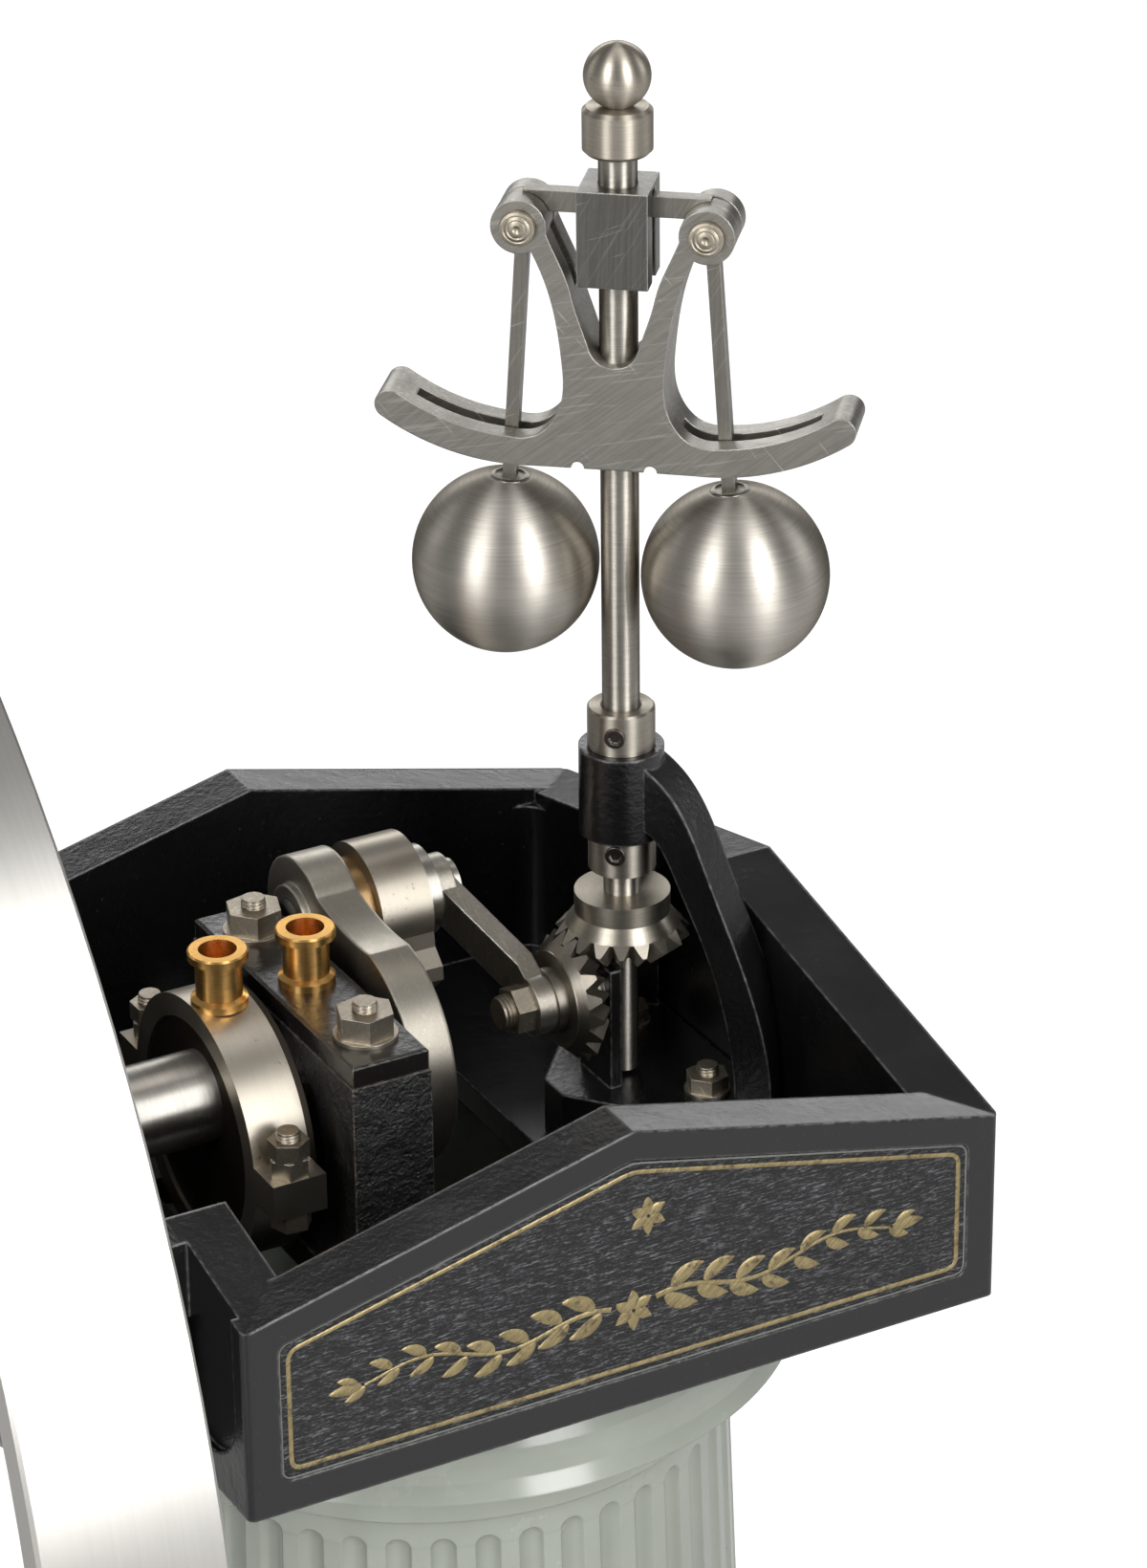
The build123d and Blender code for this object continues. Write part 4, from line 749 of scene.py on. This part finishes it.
def fluted_wall(z, angles):
    """Radius at heights z (column of rows) and angles: the cone less the cutter's arc."""
    cone = FOOT_R + (NECK_R - FOOT_R) * (z - SHAFT_LOW) / (SHAFT_HIGH - SHAFT_LOW)
    out = math.sqrt(CUTTER_R ** 2 - (FLUTE_WIDTH / 2) ** 2)
    past = np.maximum(0.0, np.maximum(SHAFT_LOW + FLUTE_END - z, z - SHAFT_HIGH + FLUTE_END))
    pitch = 2 * math.pi / FLUTES
    nearest = (angles + pitch / 2) % pitch - pitch / 2
    aside = np.sin(nearest) * cone
    inside = np.maximum(0.0, CUTTER_R ** 2 - aside ** 2 - past ** 2)
    return np.minimum(cone, cone + out - np.sqrt(inside))


angles, rows = flute_columns(), flute_rows()
wall = fluted_wall(rows[:, None], angles[None, :])
radii = np.concatenate([wall, np.full((2, len(angles)), BORE_R)])
heights = np.concatenate([rows, [SHAFT_HIGH, SHAFT_LOW]])
ring = np.stack([np.cos(angles), np.sin(angles)], -1)
levels = np.broadcast_to(heights[:, None, None], radii.shape + (1,))
shaft_grid = np.concatenate([radii[..., None] * ring, levels], -1)
fluted = surface("fluted_shaft", [shaft_grid], "frame", "column_paint", ring_rows=True)
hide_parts("column_shaft")
depth = float(FOOT_R - wall[END_ROWS].min())
print("points on the shaft:", radii.size, "flute depth:", round(depth, 2))

# %% [markdown]
# ## Screw threads
#
# The stud ends above the nuts have a thread. Its radius follows r = r0 + h tri(z / p - t / 2 pi),
# a triangle wave that climbs one pitch in each turn, so a plain grid of rings shows a real helix.
# The crests fade out over the last pitch, as a die leaves them.

# %% Screw threads
THREAD_SIDES = 28
ROWS_PER_PITCH = 8
ROOT_SHARE, CREST_RISE = 0.88, 0.14  # of the stud's radius
UP = (0, 0, 1)
BEARING_X = (-62.75, -14.75)
BEARING_STUD_Y, BEARING_STUD_Z = 15.2, COLUMN_TOP + 38.4
STRAP_X, STRAP_STUD_Y, STRAP_STUD_Z = -26.7, 19.5, ECCENTRIC[2] + 7.1
BRACKET_X, BRACKET_STUD_Y, BRACKET_STUD_Z = SPINDLE_X + 6.4, 10.2, COLUMN_TOP + 13.4
DRIVE_X = 12.6
BEARING_STUD = dict(axis=UP, radius=1.56, length=1.30, pitch=0.45, body="frame")
STRAP_STUD = dict(axis=UP, radius=1.50, length=1.30, pitch=0.42, body="strap")
BRACKET_STUD = dict(axis=UP, radius=1.45, length=1.30, pitch=0.42, body="frame")
DRIVE_STUD = dict(axis=(-1, 0, 0), radius=2.28, length=1.6, pitch=0.5, body="crank")


def threaded_end(name, centre, axis, radius, length, pitch, body):
    """Threaded end of a stud with a small bevel at its tip."""
    heights = np.linspace(0, length, int(length / pitch * ROWS_PER_PITCH) + 2)
    t = np.arange(THREAD_SIDES) / THREAD_SIDES
    phase = (heights[:, None] / pitch - t[None, :]) % 1.0
    wave = 1.0 - np.abs(2.0 * phase - 1.0)
    tip = np.clip((length - heights) / pitch, 0.0, 1.0)[:, None]
    radii = radius * (ROOT_SHARE + CREST_RISE * wave * tip)
    grid = round_grid(centre, axis, heights, radii, THREAD_SIDES)
    return surface(name, [grid], body, "fastener_steel")


for i, x in enumerate(BEARING_X):
    for j, side in enumerate((-1, 1)):
        centre = (x, side * BEARING_STUD_Y, BEARING_STUD_Z)
        threaded_end(f"bearing_thread_{i}{j}", centre, **BEARING_STUD)
for j, side in enumerate((-1, 1)):
    centre = (STRAP_X, ECCENTRIC[1] + side * STRAP_STUD_Y, STRAP_STUD_Z)
    threaded_end(f"strap_thread_{j}", centre, **STRAP_STUD)
    centre = (BRACKET_X, side * BRACKET_STUD_Y, BRACKET_STUD_Z)
    threaded_end(f"bracket_thread_{j}", centre, **BRACKET_STUD)
threaded_end("drive_thread", (DRIVE_X, 0.0, SHAFT_Z), **DRIVE_STUD)

# %% [markdown]
# ## Grub screws
#
# Each collar is held by a grub screw with a hexagon socket. Seen from outside it is a short
# ring with a six-sided hole: the outer wall is round, r = R, and the inner wall has the radius of
# a hexagon, r = a / cos((t mod 60 deg) - 30 deg). The screws are blackened, not bright.

# %% Grub screws
BLACKENED = ground_metal("blackened_screw", (0.10, 0.085, 0.075), 0.35, ANY_GRAIN, depth=0.001,
                         edge=0.7, edge_width=0.10, grain=0.2)
SCREW_FACING = math.radians(-130.0)
COLLAR_R = 4.2
LOWER_SCREW_Z, UPPER_SCREW_Z = COLUMN_TOP + 43.2, COLUMN_TOP + 59.3
SCREW_R, SOCKET_R = 1.30, 0.62
SCREW_HEIGHTS = [-0.6, 0.26, 0.34, 0.34, 0.26, 0.04]
SCREW_SIDES = 48


def grub_screw(name, height):
    """Cup of a screw that faces out of a collar, at a height on the spindle."""
    out = np.array([math.cos(SCREW_FACING), math.sin(SCREW_FACING), 0.0])
    centre = np.array([SPINDLE_X, 0.0, height]) + out * COLLAR_R
    t = np.linspace(0, 2 * math.pi, SCREW_SIDES, endpoint=False)
    hexagon = SOCKET_R / np.cos(t % (math.pi / 3) - math.pi / 6)
    outside = np.full(SCREW_SIDES, SCREW_R)
    radii = np.stack([outside, outside, outside - 0.10, hexagon + 0.10, hexagon + 0.02, hexagon])
    grid = round_grid(centre, out, SCREW_HEIGHTS, radii, SCREW_SIDES)
    return surface(name, [grid], "governor", "fastener_steel", finish=BLACKENED)


grub_screw("lower_grub_screw", LOWER_SCREW_Z)
grub_screw("upper_grub_screw", UPPER_SCREW_Z)
print("grub screws: 2")

# %% [markdown]
# ## Pin heads and ball seats
#
# The pins of the governor have turned heads: a rounded rim, a groove and a dimple where the
# lathe's centre stood. A head is a profile of radius and height that is carried round the pin's
# line. Each ball has a small countersunk ring round its arm, made in the same way.

# %% Pin heads
HEAD_DEPTH = 4.6  # from the governor's middle plane to a head's seat
HEAD_RADII = [1.6, 2.12, 2.18, 2.08, 1.72, 1.60, 1.50, 1.22, 1.08, 0.92, 0.50, 0.30, 0.05]
HEAD_HEIGHTS = [-0.5, -0.5, -0.2, 0.10, 0.20, 0.12, 0.20, 0.30, 0.20, 0.30, 0.33, 0.20, 0.12]
SEAT_RADII = [1.3, 2.3, 2.4, 2.2, 1.9, 1.6, 1.3]
SEAT_HEIGHTS = [-1.2, -1.2, -0.30, -0.18, -0.16, -0.42, -0.5]
SEAT_REACH = 11.4
PROFILE_SIDES = 40


def turned_profile(centre, axis, heights, radii):
    """Shell of revolution: p = c + h a + r (u cos t + v sin t) along a profile (h, r)."""
    return round_grid(centre, axis, heights, np.array(radii)[:, None], PROFILE_SIDES)


def arm_pivot(side):
    """Place of the pin that one ball's arm swings on."""
    pivot = np.array(SPINDLE) + GOVERNOR_ALONG * side * PIVOT_REACH
    pivot[2] = PIVOT_Z
    return pivot


heads = []
for side in (-1, 1):
    for face in (-1, 1):
        foot = arm_pivot(side) + GOVERNOR_OUT * face * HEAD_DEPTH
        heads.append(turned_profile(foot, GOVERNOR_OUT * face, HEAD_HEIGHTS, HEAD_RADII))
surface("pin_heads", heads, "governor", "fastener_steel")

for side, body in ((-1, "left_arm"), (1, "right_arm")):
    middle = np.array(ball_centre(side))
    up = (arm_pivot(side) - middle) / np.linalg.norm(arm_pivot(side) - middle)
    seat = turned_profile(middle + up * SEAT_REACH, up, SEAT_HEIGHTS, SEAT_RADII)
    surface(f"{body}_ball_seat", [seat], body, "ball_steel", finish=special["left_ball_arm"])
print("pin heads:", len(heads), "ball seats: 2")

# %% [markdown]
# ## Slim legs
#
# The legs that carry the balls are slim bars. Each one is a copy of the frame's own arm, whose
# points below the ring move towards the leg's middle line. That is safer than drawing a new
# leg, because the ring round the pin stays as it is.

# %% Slim legs
LEG_SHARE = 0.70
RING_REACH = 2.4


def slim_leg(side, name, body):
    """Copy of an arm: below the ring, p = c + share (p - c) across the line from pin to ball."""
    pivot = arm_pivot(side)
    down = np.array(ball_centre(side)) - pivot
    down /= np.linalg.norm(down)
    across = np.cross(GOVERNOR_OUT, down)
    mesh = nodes[name].data.copy()
    flat = np.empty(len(mesh.vertices) * 3)
    mesh.vertices.foreach_get("co", flat)
    points = flat.reshape(-1, 3) / MM
    along = (points - pivot) @ down
    aside = (points - pivot) @ across
    below = (along > RING_REACH)[:, None]
    points = np.where(below, points - across * (aside * (1 - LEG_SHARE))[:, None], points)
    mesh.vertices.foreach_set("co", (points * MM).ravel())
    mesh.update()
    piece = bpy.data.objects.new(f"slim_{name}", mesh)
    bpy.context.scene.collection.objects.link(piece)
    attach(piece, body)
    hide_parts(name)
    return piece


for side, name, body in ((-1, "left_ball_arm", "left_arm"), (1, "right_ball_arm", "right_arm")):
    slim_leg(side, name, body)
print("slim legs: 2")

# %% [markdown]
# ## Gold line on the plates
#
# Each plate has a thin gold line that follows its gabled outline, and a still thinner pale line
# where the plate meets the trough, a painted highlight along the edge of the recess. Both stand a
# little proud of the dug ground. A line is a low rounded strip carried along a closed path, whose
# corners are rounded by a small curve. The gold is old paint, worn to brown in patches.

# %% Gold line
PLATE_FACE = -53.8
PLATE_HALF = 45.45
PLATE_LOW, PLATE_HIGH, PLATE_PEAK = COLUMN_TOP + 4.45, COLUMN_TOP + 21.9, COLUMN_TOP + 32.6
STRIP_SIDES = 9
STRIP_ROOT = 0.1  # how far a strip reaches into the plate
CURVE_STEPS = 6


def gold(name, patchy):
    """Old gold paint, worn to brown in patches."""
    made, tree, shader = new_material(name, Metallic=0.7, Roughness=0.42)
    brushed = noise(tree, place(tree, turn=(0.0, 0.7, 0.0), scale=(0.4, 1.0, 4.0)), 1.0, 3.0, 0.6)
    patches = noise(tree, place(tree), 0.5, 4.0, 0.7)
    base = ramp(tree, brushed, ((0.35, (0.26, 0.20, 0.095)), (0.65, (0.44, 0.36, 0.19))))
    shade = mix(tree, spread(tree, patches, 0.0, patchy, 0.52, 0.66), base, (0.07, 0.055, 0.04))
    connect(tree, shader, Base_Color=shade, Normal=bump(tree, brushed, 0.02))
    return made


def rounded_path(corners, radius):
    """Closed path through corners, each cut by a curve: (1-s)^2 a + 2 s (1-s) c + s^2 b."""
    corners = np.array(corners, float)
    before = np.roll(corners, 1, 0) - corners
    after = np.roll(corners, -1, 0) - corners
    a = corners + radius * before / np.linalg.norm(before, axis=1)[:, None]
    b = corners + radius * after / np.linalg.norm(after, axis=1)[:, None]
    s = np.linspace(0, 1, CURVE_STEPS)[None, :, None]
    curve = (1 - s) ** 2 * a[:, None] + 2 * s * (1 - s) * corners[:, None] + s ** 2 * b[:, None]
    return curve.reshape(-1, 2)


def house(inset):
    """Corners of the plate's outline moved in by an inset."""
    slope = (PLATE_PEAK - PLATE_HIGH) / PLATE_HALF
    high = PLATE_HIGH - inset * (math.sqrt(1 + slope * slope) - slope)
    peak = PLATE_PEAK - inset * math.sqrt(1 + slope * slope)
    half, low = PLATE_HALF - inset, PLATE_LOW + inset
    return [(-half, low), (half, low), (half, high), (0.0, peak), (-half, high)]


def strip(path, widths, height, ring, sign=-1):
    """Low strip on a plate: section (w cos a / 2, h sin a) about a path in (x, z)."""
    path = np.array(path, float)
    along = np.roll(path, -1, 0) - np.roll(path, 1, 0) if ring else np.gradient(path, axis=0)
    along /= np.linalg.norm(along, axis=1)[:, None]
    side = np.stack([-along[:, 1], along[:, 0]], 1)
    a = np.linspace(0, 2 * math.pi, STRIP_SIDES, endpoint=False)
    half_widths = np.array(widths)[..., None, None] / 2
    flat = path[:, None, :] + np.cos(a)[None, :, None] * side[:, None, :] * half_widths
    rise = np.where(np.sin(a) > 0, np.sin(a) * height, np.sin(a) * STRIP_ROOT)
    y = np.broadcast_to(sign * (rise - PLATE_FACE), flat.shape[:2])
    return np.stack([flat[..., 0], y, flat[..., 1]], -1)


def plate_line(name, sign, slot, finish, inset, corner, width, height):
    """Closed strip round one plate, at an inset from its outline."""
    line = strip(rounded_path(house(inset), corner), width, height, True, sign)
    return surface(name, [line], "frame", slot, finish=finish, ring_rows=True)


GOLD = gold("gold_paint", 0.75)
# Pale paint for the strip at the recess edge: a painted highlight.
RECESS_HIGHLIGHT = enamel("recess_highlight_paint", (0.30, 0.31, 0.28), 0.5, peel=0.05, peel_size=0.5)
GOLD_SHAPE = dict(inset=1.0, corner=1.4, width=0.62, height=0.13)
RECESS_HIGHLIGHT_SHAPE = dict(inset=-0.12, corner=1.3, width=0.26, height=0.04)
for side, sign in (("front", -1), ("back", 1)):
    plate_line(f"{side}_gold_line", sign, "brass", GOLD, **GOLD_SHAPE)
    # Pale line where the plate meets the trough: a painted highlight along the recess edge.
    plate_line(f"{side}_recess_highlight_line", sign, "column_paint", RECESS_HIGHLIGHT, **RECESS_HIGHLIGHT_SHAPE)
print("lines on the plates: 4")

# %% [markdown]
# ## Leaves on the front plate
#
# A plain ornament fills the middle of the front plate: two sprays of leaves that mirror each
# other, with a small rosette between them and one above. A leaf is the same strip with a width
# that swells and closes, w = W sin(pi s^0.8)^0.8, about a short curved midrib.

# %% Leaves
STEM_START, STEM_HALF = 3.0, 35.0
STEM_Z = COLUMN_TOP + 13.0
STEM_WAVE, STEM_PERIOD, STEM_RISE = 1.1, 22.0, 0.04
STEM_WIDE, STEM_THIN, STEM_HEIGHT, STEM_POINTS = 0.75, 0.35, 0.13, 60
FIRST_LEAF, LEAF_STEP, LEAF_STAGGER = 4.0, 4.4, 0.9
LEAF_LENGTH, LEAF_WIDTH, LEAF_HEIGHT = 5.6, 2.1, 0.15
LEAF_LEAN, LEAF_BEND = math.radians(52.0), 0.8
TIP_LENGTH, TIP_WIDTH = 4.5, 1.6
THIN_END = 0.05
LEAF_POINTS = 12
SHRINK = 0.012  # how much smaller a leaf is for each millimetre along the stem
PETALS = 6
ROSETTES = ((0.0, STEM_Z, 2.7, 1.5), (2.0, COLUMN_TOP + 25.2, 2.5, 1.4))


def stem(t):
    """Wavy stem: x = t, z = z0 + 1.1 sin(2 pi |t| / 22) + 0.04 |t|, rising to its tips."""
    wave = STEM_WAVE * np.sin(2 * math.pi * np.abs(t) / STEM_PERIOD)
    return np.stack([t, STEM_Z + wave + STEM_RISE * np.abs(t)], -1)


def leaf(root, angle, length, width, bend):
    """Pointed leaf on a bent midrib whose direction turns by the bend from root to tip."""
    s = np.linspace(0.02, 0.98, LEAF_POINTS)
    turn = angle + bend * s
    step = np.stack([np.cos(turn), np.sin(turn)], -1) * length / len(s)
    rib = np.array(root) + np.cumsum(step, 0)
    swell = width * np.sin(math.pi * s ** 0.8) ** 0.8 + THIN_END
    return strip(rib, swell, LEAF_HEIGHT, False)


def spray(side):
    """One half of the ornament: a stem, pairs of leaves that lean outwards, a leaf at the tip."""
    reach = np.linspace(STEM_START, STEM_HALF, STEM_POINTS) * side
    taper = np.linspace(STEM_WIDE, STEM_THIN, STEM_POINTS)
    strips = [strip(stem(reach), taper, STEM_HEIGHT, False)]
    for t in np.arange(FIRST_LEAF, STEM_HALF, LEAF_STEP):
        grow = 1.0 - SHRINK * t
        for tip in (-1, 1):
            lean = tip * LEAF_LEAN
            heading = lean if side > 0 else math.pi - lean
            root = stem(np.array([(t + LEAF_STAGGER * (tip > 0)) * side]))[0]
            strips.append(leaf(root, heading, LEAF_LENGTH * grow, LEAF_WIDTH * grow,
                               -LEAF_BEND * tip * side))
    end, ahead = stem(np.array([STEM_HALF * side]))[0], 0.0 if side > 0 else math.pi
    strips.append(leaf(end, ahead, TIP_LENGTH, TIP_WIDTH, 0.0))
    return strips


sprays = spray(-1) + spray(1)
for n in range(PETALS):
    for x, z, length, width in ROSETTES:
        sprays.append(leaf((x, z), (n + 0.5) * 2 * math.pi / PETALS, length, width, 0.0))
surface("leaf_sprays", sprays, "frame", "brass", finish=GOLD)
print("strips in the ornament:", len(sprays))

# %% [markdown]
# ## Floor and light
#
# A pale floor and six soft lamps stand in for a product studio: two tall ones on either side of
# the camera, and four weak ones at the sides, behind and above. The camera sees the floor and
# the surroundings as white. Metal and gloss mirror them as greys, so that steel keeps its dark
# limbs, and every other ray finds a plain grey floor that holds the object's shadow.

# %% Floor
FLOOR_SIZE = 6.0
FLOOR_GLOW = 0.90
FLOOR_WHITE = 0.30
FLOOR_GREY = (0.35, 0.35, 0.35, 1)
MIRRORED_GLOW = 0.35
WORLD_LEVEL, MIRRORED_WORLD = 0.12, 0.16


def light_path(tree):
    """Two numbers: one for a ray from the camera, and one for a ray off gloss or through glass."""
    path = node(tree, "ShaderNodeLightPath").outputs
    mirrored = math_node(tree, "MAXIMUM", path["Is Glossy Ray"], path["Is Transmission Ray"])
    return path["Is Camera Ray"], mirrored


def add_floor():
    """Square floor under the plinth, as a grid of one face."""
    half = FLOOR_SIZE / 2
    corners = [(-half, -half, 0), (half, -half, 0), (half, half, 0), (-half, half, 0)]
    mesh = bpy.data.meshes.new("floor")
    mesh.from_pydata(corners, [], [(0, 1, 2, 3)])
    floor = bpy.data.objects.new("floor", mesh)
    bpy.context.scene.collection.objects.link(floor)
    made, tree, shader = new_material("floor_white", Base_Color=FLOOR_GREY, Roughness=0.9)
    from_camera, mirrored = light_path(tree)
    seen = math_node(tree, "MAXIMUM", from_camera, mirrored)
    strength = spread(tree, from_camera, MIRRORED_GLOW, FLOOR_GLOW, 0.0, 1.0)
    white = (1, 1, 1, 1)
    glow = node(tree, "ShaderNodeEmission", {"Color": white, "Strength": strength}).outputs[0]
    pale = (FLOOR_WHITE, FLOOR_WHITE, FLOOR_WHITE, 1)
    matt = node(tree, "ShaderNodeBsdfDiffuse", {"Color": pale}).outputs[0]
    both = node(tree, "ShaderNodeAddShader", {0: glow, 1: matt}).outputs[0]
    shown = node(tree, "ShaderNodeMixShader", {0: seen, 1: shader.outputs[0], 2: both}).outputs[0]
    tree.links.new(shown, tree.nodes["Material Output"].inputs["Surface"])
    mesh.materials.append(made)


def set_world(level):
    """Surroundings: a plain level for the light, a dim grey in gloss, white to the camera."""
    world = bpy.data.worlds.new("studio")
    bpy.context.scene.world = world
    world.use_nodes = True
    tree = world.node_tree
    from_camera, mirrored = light_path(tree)
    pale = spread(tree, mirrored, level, MIRRORED_WORLD, 0.0, 1.0)
    shown = spread(tree, from_camera, pale, 1.0, 0.0, 1.0)
    tree.nodes["Background"].inputs["Color"].default_value = (1, 1, 1, 1)
    tree.links.new(shown, tree.nodes["Background"].inputs["Strength"])


add_floor()
set_world(WORLD_LEVEL)
bpy.context.scene.view_settings.view_transform = "Standard"
print("floor and surroundings set")

# %% [markdown]
# A lamp is placed by its turn from the camera's side, seen from above, because that is how a
# photographer moves one. The two tall softboxes give the bright upright bands on the balls.

# %% Lamps
TARGET = np.array([0.0, 0.0, 0.30])
CAMERA_SIDE = math.atan2(EYE[1], EYE[0])
# name, turn in degrees, height over the target, distance, width and height, watts
LAMPS = (
    ("softbox_left", -38.0, 0.58, 1.3, (0.50, 1.5), 15.0),
    ("softbox_right", 36.0, 0.58, 1.3, (0.50, 1.5), 17.0),
    ("softbox_far_right", 100.0, 0.5, 1.5, (0.6, 0.9), 2.5),
    ("softbox_far_left", -110.0, 0.5, 1.5, (0.6, 0.9), 1.5),
    ("softbox_back", 178.0, 0.46, 1.35, (1.5, 0.36), 5.0),
    ("softbox_top", 150.0, 1.6, 0.3, (0.8, 0.8), 3.0),
)


def add_softbox(name, turn, height, distance, size, power):
    """Soft area lamp at a turn from the camera's side, facing the target."""
    azimuth = CAMERA_SIDE + math.radians(turn)
    away = np.array([math.cos(azimuth), math.sin(azimuth), 0.0]) * distance
    where = TARGET + away + (0.0, 0.0, height)
    data = bpy.data.lights.new(name, "AREA")
    data.shape = "RECTANGLE"
    data.size, data.size_y = size
    data.energy = power
    lamp = bpy.data.objects.new(name, data)
    bpy.context.scene.collection.objects.link(lamp)
    aim = (TARGET - where) / np.linalg.norm(TARGET - where)
    right = np.cross(aim, (0, 0, 1))
    right /= np.linalg.norm(right)
    lamp.matrix_world = stand(right, np.cross(right, aim), aim, where)


for lamp in LAMPS:
    add_softbox(*lamp)
print("lamps:", len(LAMPS))
